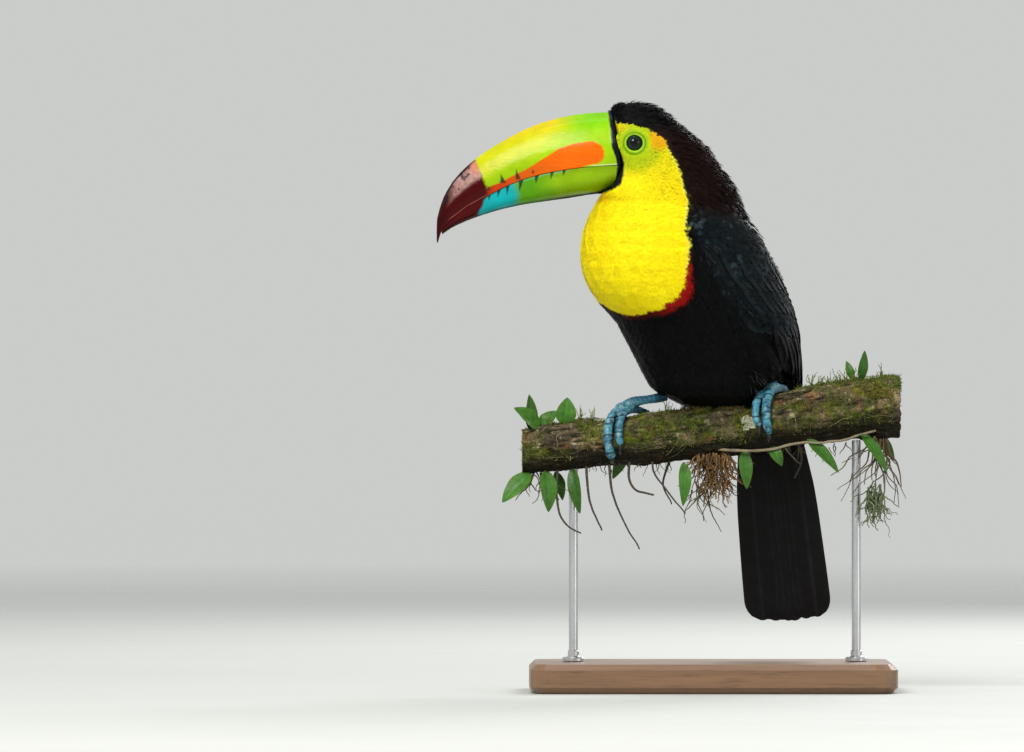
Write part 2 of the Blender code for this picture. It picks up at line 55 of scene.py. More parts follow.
# --- The bird's own axes ---
# Height, the body's centre there, and how far its front is turned from -Y towards -X
AXIS = np.array([
    (150, 45, 41, 22), (170, 42, 40, 22), (195, 26, 31, 32), (212, 7, 13, 40), (226, 3, 9, 42),
    (244, -3, 3, 45), (260, -10, -4, 48), (273, -18, -10, 50), (292, -25, -17, 55), (314, -29, -22, 62),
    (334, -29, -24, 74), (350, -29, -25, 84), (365, -33, -25, 87), (382, -40, -25, 88), (396, -47, -25, 88),
    (411, -55, -25, 88),
], float)
UP = np.array((0.0, 0.0, 1.0))
HEAD_TURN = math.radians(88)
ASIDE = np.array((math.cos(HEAD_TURN), -math.sin(HEAD_TURN), 0.0))    # the head's left
MOUTH = np.array((-66.0, -25.0, 366.8))
BETWEEN_EYES = np.array((-55.6, -25.0, 382.2))
EYES = {"left": BETWEEN_EYES + 19.2 * ASIDE, "right": BETWEEN_EYES - 19.2 * ASIDE}
EYE_RADIUS = 7.2

# --- Markings ---
# The edge of the yellow bib, on either side: angle from the bird's front, and height
BIB_EDGE = np.array([
    (0, 261), (10, 261.5), (26, 264.5), (35, 268.5), (43, 272.5), (51, 279), (58, 286.5), (68, 299),
    (75.5, 310), (79, 320), (86.5, 329), (96, 338), (101.5, 350), (107, 362), (107.5, 370), (106, 378.7),
    (108, 383.6), (106, 386.4), (101, 388.5), (90, 391.6), (75, 394.2), (60, 395.5), (45, 396.8), (31, 398.0),
    (0, 399.0),
], float)
BIB_RISE = 6.0    # how much higher its lower edge is on the far side
# Angle from the bird's front, and the width of the red below the bib there
RED_WIDTH = ((0, 20, 35, 50, 60, 66, 74), (2.2, 2.6, 4.0, 5.6, 5.2, 3.0, 0))
# The back edge of the black rim round the bill's base: up and ahead from the corner of the mouth
RIM_BACK = np.array([
    (-20, 14.2), (-18.7, 9.2), (-16.2, 2.9), (-13, -1.9), (-6.8, -3.4), (0.1, -4.1), (5.7, -2.7), (12, 0.1),
    (18.2, 1.6), (31.9, 2.3), (38, 2.6),
])
# Where a folded wing lies: height, and the angles of its leading and trailing edge
WING_EDGE = np.array([
    (158, 150, 166), (166, 148, 168), (186, 142, 171), (208, 132, 171), (232, 112, 169), (258, 94, 165),
    (284, 86, 161), (310, 86, 156), (331, 90, 150), (341, 104, 136),
], float)
WING_TOP = 341
# The hollow between the wings over the tail's root: height, and how far from the body's axis it ends
HOLLOW = ((166, 172, 180, 188, 195, 205, 212), (12, 15, 21, 27, 31.5, 47, 56))

YELLOW = np.array((0.93, 0.79, 0.003))
DEEP_YELLOW = np.array((0.91, 0.73, 0.003))
BROW_YELLOW = np.array((0.80, 0.58, 0.004))
CREAM = np.array((0.74, 0.80, 0.16))
LIME_FACE = np.array((0.44, 0.52, 0.004))
LIME_SKIN = np.array((0.33, 0.47, 0.003))
ORANGE_PATCH = np.array((0.78, 0.36, 0.003))
RED = np.array((0.30, 0.005, 0.003))
CRIMSON = np.array((0.33, 0.008, 0.010))
BLACK = np.array((0.0030, 0.0030, 0.0034))
MAROON = np.array((0.0125, 0.0052, 0.0042))
# Black with a painted blue-green sheen, for the back, the tertials and the wing's coverts
SHEEN_BLUE_BLACK = np.array((0.0022, 0.0050, 0.0064))
WHITE_FEATHER = np.array((0.62, 0.60, 0.55))
HORN_BLACK = np.array((0.0035, 0.0045, 0.008))


def unit(v):
    return v / np.maximum(np.linalg.norm(v, axis=-1, keepdims=True), 1e-12)


def ramp(x, low, high):
    """0 below `low`, 1 above `high`, and a smooth step between them."""
    t = np.clip((x - low) / (high - low), 0, 1)
    return t * t * (3 - 2 * t)


def patch(x, low, high, fade_from, fade_to):
    """1 from `high` to `fade_from`, fading to 0 at `low` and at `fade_to`."""
    return ramp(x, low, high) * (1 - ramp(x, fade_from, fade_to))


def mix(a, b, t):
    return a + (b - a) * np.asarray(t)[..., None]


def painted(colour, *coats):
    """The colour under coats of paint, each with its share at every point."""
    for tone, share in coats:
        colour = mix(colour, np.asarray(tone), share)
    return colour


def by(table, x):
    """The second column of a table at x in its first."""
    return np.interp(x, table[:, 0], table[:, 1])


def rough(points, size, seed=0):
    """Smooth noise from -1 to 1, with features of that size."""
    q = np.asarray(points) / size + 37.7 * seed + 500
    cell = np.floor(q).astype(np.int64)
    f = q - cell
    f = f * f * (3 - 2 * f)
    total = 0
    for corner in np.ndindex(2, 2, 2):
        c = cell + corner
        h = (c[:, 0] * 73856093) ^ (c[:, 1] * 19349663) ^ (c[:, 2] * 83492791)
        h = (h * 2654435761) & 0xFFFFFFFF
        h = ((h ^ (h >> 15)) * 2246822519) & 0xFFFFFFFF
        value = ((h >> 7) & 0xFFFF) / 32767.5 - 1
        total = total + value * np.prod(np.where(corner, f, 1 - f), axis=1)
    return total


def rough_vectors(points, size, seeds):
    return np.stack([rough(points, size, seed) for seed in seeds], 1)


def axis_at(z):
    """The body's axis at a height: its place, and which way the front and the left are."""
    cx, cy, heading = (np.interp(z, AXIS[:, 0], AXIS[:, k]) for k in (1, 2, 3))
    h = np.radians(heading)
    return cx, cy, np.sin(h), np.cos(h)


def body_place(points):
    """Each point's height, angle from the bird's front towards its left, and distance from the axis."""
    p = points / MM
    cx, cy, sine, cosine = axis_at(p[:, 2])
    dx, dy = p[:, 0] - cx, p[:, 1] - cy
    ahead = -sine * dx - cosine * dy
    left = cosine * dx - sine * dy
    return p[:, 2], np.degrees(np.arctan2(left, ahead)), np.hypot(dx, dy)


def axis_frame(z):
    """The axis's point at a height, with the ways ahead and to the left."""
    cx, cy, sine, cosine = axis_at(z)
    return np.array((cx, cy, z)), np.array((-sine, -cosine, 0)), np.array((cosine, -sine, 0))


def unwrap(points):
    """The body's own unwrap: the angle round its axis, and the height."""
    z, angle, _ = body_place(points)
    return np.stack([angle / 360 + 0.5, (z - 40) / 375], axis=1).clip(0.004, 0.992)


def bib_distance(points):
    """Millimetres outside the yellow bib's edge, below 0 inside it."""
    z, angle, radius = body_place(points)
    a = np.abs(angle)
    z = z - BIB_RISE * ramp(-angle, 2, 22) * (1 - ramp(z, 282, 320))
    scale = np.radians(1) * radius.clip(18, 75)
    spot = np.stack([a * scale, z], axis=1)
    nearest = np.full(len(points), 1e9)
    for (a0, z0), (a1, z1) in zip(BIB_EDGE, BIB_EDGE[1:]):
        start = np.stack([a0 * scale, np.full_like(z, z0)], axis=1)
        step = np.stack([(a1 - a0) * scale, np.full_like(z, z1 - z0)], axis=1)
        t = (((spot - start) * step).sum(1) / (step * step).sum(1)).clip(0, 1)
        nearest = np.minimum(nearest, np.linalg.norm(spot - start - step * t[:, None], axis=1))
    inside = (a < by(BIB_EDGE[:, ::-1], z)) & (z > BIB_EDGE[0, 1]) & (z < BIB_EDGE[-1, 1])
    return np.where(inside, -nearest, nearest)


def bill_place(points):
    """Millimetres ahead and up from the corner of the mouth."""
    p = points / MM
    return MOUTH[0] - p[:, 0], p[:, 2] - MOUTH[2]


def bill_rim(points):
    """Millimetres inside the black rim round the bill's base, on the head's own face; below 0 outside it."""
    ahead, up = bill_place(points)
    return np.where(up > -20.2, ahead - by(RIM_BACK, up), -10)


def eye_distance(points):
    """Millimetres from the nearer eye's middle, seen from the side."""
    p = points / MM
    flat = (np.linalg.norm((p - e) - ((p - e) @ ASIDE)[:, None] * ASIDE, axis=1) for e in EYES.values())
    return np.minimum(*flat)


def on_wing(points):
    z, angle, radius = body_place(points)
    a = np.abs(angle)
    lead, trail = (np.interp(z, WING_EDGE[:, 0], WING_EDGE[:, k]) for k in (1, 2))
    hollow = (a > 156) & (z < 212) & (radius < np.interp(z, *HOLLOW))
    return (a > lead) & (a < trail + 4) & (z < WING_TOP) & ~hollow


def spot_at(points, x, z, wide, tall):
    """How far out each point is from a round spot of the side view, as a share of its half size."""
    p = points / MM
    return np.hypot((p[:, 0] - x) / wide, (p[:, 2] - z) / tall)


def plumage_colour(points):
    """The markings, with a painted blue-green sheen on the back: colour of the plumage, and of the skin below
    it, at any point of the body.
    """
    z, angle, _ = body_place(points)
    a, x = np.abs(angle), points[:, 0] / MM
    d = bib_distance(points) + 0.7 * rough(points, 0.004, 1) + 0.4 * rough(points, 0.0015, 2)
    eye = eye_distance(points)
    yellow = painted(
        YELLOW,
        (DEEP_YELLOW, 0.5 + 0.5 * rough(points, 0.016, 3)),
        (CREAM, 0.5 * ramp(d, -1.9, -0.2) * ramp(a, 50, 70) * (z < 385) * (z > 285)),
        (LIME_FACE, ramp(z, 350, 366) * (1 - 0.75 * ramp(eye, 15, 27))),
        (LIME_FACE, 0.75 * ramp(z, 362, 372) * ramp(-x, 52, 60)),
        (ORANGE_PATCH, 0.85 * (1 - ramp(spot_at(points, -36.5, 384.5, 8.5, 8.5), 0.45, 1.25))),
        (ORANGE_PATCH, 0.5 * (1 - ramp(spot_at(points, -81, 345, 9, 7), 0.3, 1.2))),
        (BROW_YELLOW, 0.55 * (1 - ramp(spot_at(points, -64, 393, 5, 4), 0.4, 1.5))),
        (LIME_SKIN, 1 - ramp(eye, 9.0, 13.0)),
    )
    rump_edge = z + 2.0 * rough(points, 0.006, 4)
    white = (1 - ramp(rump_edge, 196, 201)) * ramp(a + 3 * rough(points, 0.005, 7), 150, 156)
    dark = painted(
        BLACK,
        (MAROON, patch(z, 318, 345, 384, 400) * ramp(a, 85, 110)),
        # painted blue-green sheen over the back
        (SHEEN_BLUE_BLACK, 0.8 * ramp(a, 70, 95) * patch(z, 235, 262, 322, 340)),
        (CRIMSON, patch(z, 172, 175, 181, 188) * (1 - ramp(a, 75, 95)) * ramp(x, 18, 26)),
        (WHITE_FEATHER, white * ramp(x, 24, 30) * ~on_wing(points)),
    )
    width = np.interp(a, *RED_WIDTH) * (z < 312)
    red = mix(RED * (0.2 + 0.8 * ramp(a, 16, 40))[:, None], dark, ramp(d, width - 1.2, width + 0.6))
    outside = np.where((width > 0.2)[:, None], red, dark)
    return painted(yellow, (outside, ramp(d, -0.25, 0.35)), (HORN_BLACK, ramp(bill_rim(points), -0.3, 0.3)))


# --- Meshes ---
def piece(
    name, points, faces, look, slot, stands_for=(), normals=None, tint=None, uv=None, sharp=None, values=None
):
    """A mesh object from arrays, riding on the row's one body."""
    mesh = bpy.data.meshes.new(name)
    faces = np.asarray(faces)
    mesh.vertices.add(len(points))
    mesh.vertices.foreach_set("co", np.ascontiguousarray(points, np.float32).ravel())
    mesh.loops.add(faces.size)
    mesh.loops.foreach_set("vertex_index", faces.astype(np.int32).ravel())
    mesh.polygons.add(len(faces))
    mesh.polygons.foreach_set("loop_start", np.arange(len(faces), dtype=np.int32) * faces.shape[1])
    mesh.update(calc_edges=True)
    mesh.shade_smooth()
    if sharp:
        mesh.set_sharp_from_angle(angle=math.radians(sharp))
    if tint is not None:
        colours = np.ones((len(points), 4), np.float32)
        colours[:, :3] = tint
        mesh.color_attributes.new("tint", "FLOAT_COLOR", "POINT").data.foreach_set("color", colours.ravel())
    if values is not None:
        mesh.attributes.new("along", "FLOAT", "POINT").data.foreach_set("value", values.astype(np.float32))
    if uv is not None:
        layer = mesh.uv_layers.new(name="OFBake")
        layer.uv.foreach_set("vector", uv[faces.ravel()].astype(np.float32).ravel())
    if normals is not None:
        mesh.normals_split_custom_set_from_vertices(normals.astype(np.float32).tolist())
    mesh.materials.append(look.material)
    obj = bpy.data.objects.new(name, mesh)
    bpy.context.scene.collection.objects.link(obj)
    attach(obj, "root")
    if stands_for:
        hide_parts(*stands_for)
    return obj


def arrays_of(mesh):
    points = np.empty(len(mesh.vertices) * 3, np.float32)
    mesh.vertices.foreach_get("co", points)
    normals = np.empty(len(mesh.vertices) * 3, np.float32)
    mesh.vertex_normals.foreach_get("vector", normals)
    corners = np.empty(len(mesh.loops), np.int32)
    mesh.loops.foreach_get("vertex_index", corners)
    return points.reshape(-1, 3).astype(float), normals.reshape(-1, 3).astype(float), corners.reshape(-1, 4)


def evaluated(mesh, modifiers):
    """The arrays of a mesh after these modifiers, which leave only quads."""
    source = bpy.data.objects.new("source", mesh)
    bpy.context.scene.collection.objects.link(source)
    for kind, settings in modifiers:
        modifier = source.modifiers.new(kind.lower(), kind)
        for key, value in settings.items():
            setattr(modifier, key, value)
    result = bpy.data.meshes.new_from_object(source.evaluated_get(bpy.context.evaluated_depsgraph_get()))
    arrays = arrays_of(result)
    bpy.data.objects.remove(source)
    bpy.data.meshes.remove(result)
    bpy.data.meshes.remove(mesh)
    return arrays


def node_mesh(names, grow=0.0, quads=False, longest=None, sharp=40):
    """The CAD nodes' meshes welded into one, each grown by `grow` metres."""
    whole = bpy.data.meshes.new("nodes")
    joined = bmesh.new()
    for name in names:
        bm = bmesh.new()
        bm.from_mesh(NODES[name].data)
        bmesh.ops.remove_doubles(bm, verts=bm.verts, dist=2e-5)
        bm.normal_update()
        for vertex in bm.verts:
            vertex.co += vertex.normal * grow
        if quads:
            bmesh.ops.join_triangles(
                bm, faces=bm.faces, angle_face_threshold=math.radians(40), angle_shape_threshold=math.pi
            )
        if longest:
            long_edges = [e for e in bm.edges if e.calc_length() > longest]
            bmesh.ops.subdivide_edges(bm, edges=long_edges, cuts=1, use_grid_fill=True)
        if quads:
            crease = bm.edges.layers.float.new("crease_edge")
            for edge in bm.edges:
                if edge.is_manifold and edge.calc_face_angle(0) > math.radians(sharp):
                    edge[crease] = 0.75
        part = bpy.data.meshes.new("part")
        bm.to_mesh(part)
        bm.free()
        joined.from_mesh(part)
        bpy.data.meshes.remove(part)
    joined.to_mesh(whole)
    joined.free()
    return whole


def refined(name, levels, longest=None, sharp=40):
    """A CAD node's shape as a smooth subdivision surface."""
    mesh = node_mesh([name], quads=True, longest=longest, sharp=sharp)
    return evaluated(mesh, [("SUBSURF", dict(levels=levels, render_levels=levels))])


def remeshed(names, voxel, grow, rounds):
    """One even surface round all these CAD nodes."""
    remesh = ("REMESH", dict(mode="VOXEL", voxel_size=voxel))
    return evaluated(node_mesh(names, grow), [remesh, ("SMOOTH", dict(factor=0.5, iterations=rounds))])


def largest_island(points, normals, faces):
    """The mesh without the loose shells that a remesh leaves round sealed hollows."""
    label = np.arange(len(points))
    while True:
        low = label[faces].min(1)
        new = label.copy()
        np.minimum.at(new, faces.ravel(), np.repeat(low, faces.shape[1]))
        new = new[new]
        if (new == label).all():
            break
        label = new
    names, counts = np.unique(label, return_counts=True)
    keep = label == names[counts.argmax()]
    index = np.cumsum(keep) - 1
    return points[keep], normals[keep], index[faces[keep[faces[:, 0]]]]


def tree_of(points, faces):
    return BVHTree.FromPolygons(points.tolist(), faces.tolist())


def hit(tree, start, way):
    """Where a ray from `start`, in millimetres, meets the surface, and the way out of it; or None twice."""
    spot, facing, _, _ = tree.ray_cast(Vector(np.asarray(start) * MM), Vector(way))
    return (None, None) if spot is None else (np.array(spot) / MM, np.array(facing))


def ring_faces(rings, sides, wrap=False):
    """Quads between rings of points, where `wrap` joins the last ring to the first."""
    i, j = np.meshgrid(np.arange(rings if wrap else rings - 1), np.arange(sides), indexing="ij")
    k, n = (j + 1) % sides, (i + 1) % rings
    return np.stack([i * sides + j, i * sides + k, n * sides + k, n * sides + j], -1).reshape(-1, 4)


def halved(quads):
    return quads[:, (0, 1, 2, 0, 2, 3)].reshape(-1, 3)


def circle(sides):
    return np.arange(sides) * 2 * math.pi / sides


def tube_arrays(path, radii, sides=6):
    """A round tube along a path, closed at both ends."""
    path = np.asarray(path, float)
    along = unit(np.gradient(path, axis=0))
    side = unit(np.cross(along, (0.31, 0.93, 0.2)))
    up = np.cross(along, side)
    turn = circle(sides)
    ring = side[:, None] * np.cos(turn)[:, None] + up[:, None] * np.sin(turn)[:, None]
    points = (path[:, None] + ring * np.asarray(radii)[:, None, None]).reshape(-1, 3)
    j = np.arange(sides)
    k, last, start, end = (j + 1) % sides, len(path) * sides - sides, len(path) * sides, len(path) * sides + 1
    caps = np.stack([0 * j + start, k, j, 0 * j + end, last + j, last + k], 1).reshape(-1, 3)
    faces = np.concatenate([halved(ring_faces(len(path), sides)), caps])
    return np.concatenate([points, path[:1], path[-1:]]), faces


def smooth_path(marks, count):
    """A smooth line through a few marks."""
    marks = np.asarray(marks, float)
    place = np.linspace(0, len(marks) - 1, count)
    slopes = np.gradient(marks, axis=0)
    i = np.minimum(place.astype(int), len(marks) - 2)
    t = (place - i)[:, None]
    return (
        (2 * t**3 - 3 * t**2 + 1) * marks[i] + (t**3 - 2 * t**2 + t) * slopes[i]
        + (3 * t**2 - 2 * t**3) * marks[i + 1] + (t**3 - t**2) * slopes[i + 1]
    )


def tapered(marks, count, thick, thin, sides=4):
    """A slender hair or root through a few marks, in millimetres."""
    return tube_arrays(smooth_path(marks, count) * MM, np.linspace(thick, thin, count) * MM, sides)


def even(marks, s):
    """Marks, or numbers, spaced evenly from 0 to 1 and read at each s."""
    marks = np.asarray(marks, float)
    spread = np.linspace(0, 1, len(marks))
    if marks.ndim == 1:
        return np.interp(s, spread, marks)
    return np.stack([np.interp(s, spread, marks[:, k]) for k in range(3)], 1)


def strip_faces(rows, columns):
    """Triangles over a grid of points, row by row."""
    i, j = np.meshgrid(np.arange(rows - 1), np.arange(columns - 1), indexing="ij")
    a = (i * columns + j).ravel()
    b, c, d = a + 1, a + columns + 1, a + columns
    return np.concatenate([np.stack([a, b, c], 1), np.stack([a, c, d], 1)])


def two_sided(rows, columns):
    """Triangles of a thin blade: a grid of points for its upper face, the same for the lower, and the rim."""
    count = rows * columns
    grid = strip_faces(rows, columns)
    border = list(range(columns)) + [r * columns + columns - 1 for r in range(1, rows)]
    border += list(range(count - 2, count - columns - 1, -1)) + [r * columns for r in range(rows - 2, 0, -1)]
    rim = []
    for a, b in zip(border, border[1:] + border[:1]):
        rim += [(a, a + count, b + count), (a, b + count, b)]
    return np.concatenate([grid, grid[:, ::-1] + count, np.array(rim)])


def gathered(parts):
    """Many small meshes, each as (points, faces, *more), joined into one set of arrays."""
    start = np.cumsum([0] + [len(p[0]) for p in parts[:-1]])
    out = [np.concatenate([p[0] for p in parts]), np.concatenate([p[1] + s for p, s in zip(parts, start)])]
    return out + [np.concatenate([p[k] for p in parts]) for k in range(2, len(parts[0]))]


def put(name, parts, look, slot, **more):
    """One piece from many small meshes, each as (points, faces, tint)."""
    points, faces, tint = gathered(parts)
    return piece(name, points, faces, look, slot, tint=tint.clip(0, 1), **more)


# --- Materials ---
class Look:
    """A node material being wired: add() makes a node, and sets or links its inputs by name."""

    def __init__(self, name, **fixed):
        self.material = bpy.data.materials.new(name)
        self.material.use_nodes = True
        self.tree = self.material.node_tree
        self.shader = self.tree.nodes["Principled BSDF"]
        for key, value in fixed.items():
            self.shader.inputs[key.replace("_", " ")].default_value = value
        self.place = self.add("TexCoord")["Object"]

    def add(self, kind, settings=(), **inputs):
        node = self.tree.nodes.new("ShaderNode" + kind)
        for key, value in dict(settings).items():
            setattr(node, key, value)
        for key, value in inputs.items():
            numbered = key[0] == "i" and key[1:].isdigit()
            socket = node.inputs[int(key[1:]) if numbered else key.replace("_", " ")]
            if isinstance(value, bpy.types.NodeSocket):
                self.tree.links.new(value, socket)
            else:
                socket.default_value = value
        return node.outputs

    def noise(self, scale, detail=3.0, stretch=None, rough=0.55):
        place = self.place
        if stretch:
            place = self.add("Mapping", Vector=place, Scale=stretch)["Vector"]
        return self.add("TexNoise", Vector=place, Scale=scale, Detail=detail, Roughness=rough)["Fac"]

    def range(self, value, low, high, start=0.3, end=0.7):
        return self.add("MapRange", i0=value, i1=start, i2=end, i3=low, i4=high)["Result"]

    def blend(self, a, b, factor, kind="MIX"):
        return self.add("MixRGB", dict(blend_type=kind), Fac=factor, Color1=a, Color2=b)["Color"]

    def tint(self):
        return self.add("Attribute", dict(attribute_name="tint"))["Color"]

    def value(self, name):
        return self.add("Attribute", dict(attribute_name=name))["Fac"]

    def bump(self, height, strength, distance, normal=None):
        more = {"Normal": normal} if normal else {}
        return self.add("Bump", Height=height, Strength=strength, Distance=distance, **more)["Normal"]

    def wire(self, **sockets):
        for key, socket in sockets.items():
            self.tree.links.new(socket, self.shader.inputs[key.replace("_", " ")])
        return self


def tinted_look(name, vary, grain, roughness, bump, bump_grain, depth, **fixed):
    """The piece's own tint, with patches of lighter and darker, uneven gloss and a fine relief."""
    look = Look(name, **fixed)
    cloud = look.range(look.noise(grain), 1 - vary, 1 + vary)
    colour = look.blend(look.tint(), cloud, 1.0, "MULTIPLY")
    shine = look.range(look.noise(grain * 1.7, 2.0), *roughness)
    relief = look.bump(look.noise(bump_grain, 3.0), bump, depth)
    return look.wire(Base_Color=colour, Roughness=shine, Normal=relief)


# name, how much the colour varies and its grain, roughness, then the relief's strength, grain and depth
PLUMAGE_DARK = tinted_look(
    "plumage dark", 0.35, 260, (0.36, 0.52), 0.25, 2600, 0.0002, Specular_IOR_Level=0.055,
)
PLUMAGE_BRIGHT = tinted_look(
    "plumage bright", 0.07, 220, (0.62, 0.78), 0.2, 2600, 0.0002, Specular_IOR_Level=0.12,
)
PLUMAGE_GLOSSY = tinted_look(
    "plumage glossy", 0.30, 200, (0.30, 0.46), 0.25, 2600, 0.0002, Specular_IOR_Level=0.095,
    Specular_Tint=(0.75, 0.92, 1.0, 1),
)
SKIN = tinted_look("skin", 0.15, 300, (0.5, 0.65), 0.4, 1800, 0.0003, Specular_IOR_Level=0.1)
BARE_SKIN = tinted_look("bare skin", 0.10, 500, (0.5, 0.62), 0.4, 2200, 0.0002, Specular_IOR_Level=0.1)
SCALES = tinted_look("scaly skin", 0.22, 650, (0.30, 0.44), 0.35, 2400, 0.0002, Specular_IOR_Level=0.3)
CLAW = Look("claw", Coat_Weight=0.15, Coat_Roughness=0.2, Specular_IOR_Level=0.3)
CLAW.wire(
    Base_Color=CLAW.blend((0.006, 0.007, 0.009, 1), (0.03, 0.032, 0.036, 1), CLAW.noise(900, 4, (1, 1, 0.2))),
    Roughness=CLAW.range(CLAW.noise(700), 0.25, 0.42),
    Normal=CLAW.bump(CLAW.noise(1500, 2, (1, 1, 0.25)), 0.3, 0.0001),
)


def bill_look():
    """Horn: fine growth lines along the bill, faint scratches and a soft polish."""
    look = Look("bill horn", Coat_Weight=0.03, Coat_Roughness=0.08, Specular_IOR_Level=0.10)
    cloud = look.range(look.noise(90, 4), 0.90, 1.08)
    lines = look.range(look.noise(60, 5, (0.3, 1, 9)), 0.95, 1.04)
    colour = look.blend(look.tint(), cloud, 1.0, "MULTIPLY")
    colour = look.blend(colour, lines, 1.0, "MULTIPLY")
    fine = look.bump(look.noise(160, 5, (0.25, 1, 6)), 0.12, 0.0003)
    pits = look.bump(look.noise(1400, 3), 0.06, 0.0001, fine)
    smears = look.range(look.noise(240, 4), -0.03, 0.06)
    dull = look.add("Math", dict(operation="ADD"), i0=smears, i1=look.value("along"))["Value"]
    return look.wire(Base_Color=colour, Roughness=dull, Normal=pits)


BILL = bill_look()

# --- The bill ---
# Outlines of the side view, ahead and up from the corner of the mouth
BILL_RIDGE = np.array([
    (4.7, 37.6), (30, 35.7), (58, 28.4), (82.4, 16.1), (100.6, 3.9), (113.9, -9.1), (122.3, -23.1),
    (126.8, -38.5),
])
BILL_MOUTH = np.array([
    (-1.8, 0), (23, -1.4), (49, -5.3), (72, -11.9), (90, -20.7), (105.5, -29.2), (117, -37.8), (123.4, -45.8),
])
BILL_KEEL = np.array([
    (4.7, -14.5), (24.3, -21), (47.4, -24.5), (68.4, -27.7), (86, -31.9), (103, -37.6), (116, -43.4),
    (122.6, -48),
])
FLAME_TOP = np.array([
    (9.5, 8), (11, 13), (17.5, 16.8), (27.8, 15.9), (40.7, 12.0), (51, 5.6), (59, 0.3), (66.6, -4.1),
    (75.7, -8.6), (88.7, -14.8), (96, -18.5),
])
FLAME_BACK = np.array([(9.5, 6.5), (11, 3.4), (14, 1.2), (22, -0.2), (30, -3.6)])
# Up, ahead
BAND_FRONT = np.array([
    (-17, 13), (-14, 5.0), (-10.5, 1.5), (-0.8, 0.2), (3.5, 0.8), (12.6, 4.0), (25, 4.9), (38, 6.6),
])
TIP_EDGE = np.array([(-34, 97), (-25, 92.5), (-20, 91), (-14, 92.5), (-8, 94.5), (2.3, 99.4), (8, 101)])
# The dark notches of the edge: ahead, up, height, width, and on the lower bill ahead, depth, width
UPPER_MARKS = (
    (80.2, -12.3, 6.2, 4.2), (69.8, -9.8, 7.4, 3.8), (58.8, -5.7, 3.2, 2.2), (89.6, -17.6, 3.4, 2.4),
)
LOWER_MARKS = (
    (89.4, 4.0, 2.2), (83.1, 4.8, 2.4), (76.8, 6.6, 2.8), (67.7, 7.4, 3.2), (56.5, 5.0, 2.8), (46, 5.0, 2.4),
    (37.6, 3.6, 2.2),
)
LIME = np.array((0.29, 0.51, 0.002))
BILL_YELLOW = np.array((0.49, 0.50, 0.002))
LIME_YELLOW = np.array((0.40, 0.52, 0.003))
RIDGE_ORANGE = np.array((0.74, 0.42, 0.003))
BASE_GREEN = np.array((0.14, 0.48, 0.002))
FLAME = np.array((0.78, 0.125, 0.001))
FLAME_MIDDLE = np.array((0.62, 0.10, 0.002))
FLAME_END = np.array((0.50, 0.040, 0.003))
DEEP_RED = np.array((0.16, 0.008, 0.004))
MAROON_TIP = np.array((0.050, 0.0008, 0.0012))
TIP_HIGHLIGHT = np.array((0.46, 0.27, 0.24))
TIP_SALMON = np.array((0.62, 0.20, 0.10))
TIP_SEAM_HIGHLIGHT = np.array((0.36, 0.10, 0.09))
PALE_SEAM_AND_HIGHLIGHT = np.array((0.75, 0.80, 0.45))
UPPER_NOTCH = np.array((0.020, 0.022, 0.010))
BILL_GREEN = np.array((0.18, 0.31, 0.002))
FAR_GREEN = np.array((0.085, 0.29, 0.003))
EDGE_GREEN = np.array((0.10, 0.55, 0.26))
CYAN = np.array((0.003, 0.36, 0.38))
LOWER_NOTCH = np.array((0.012, 0.020, 0.018))


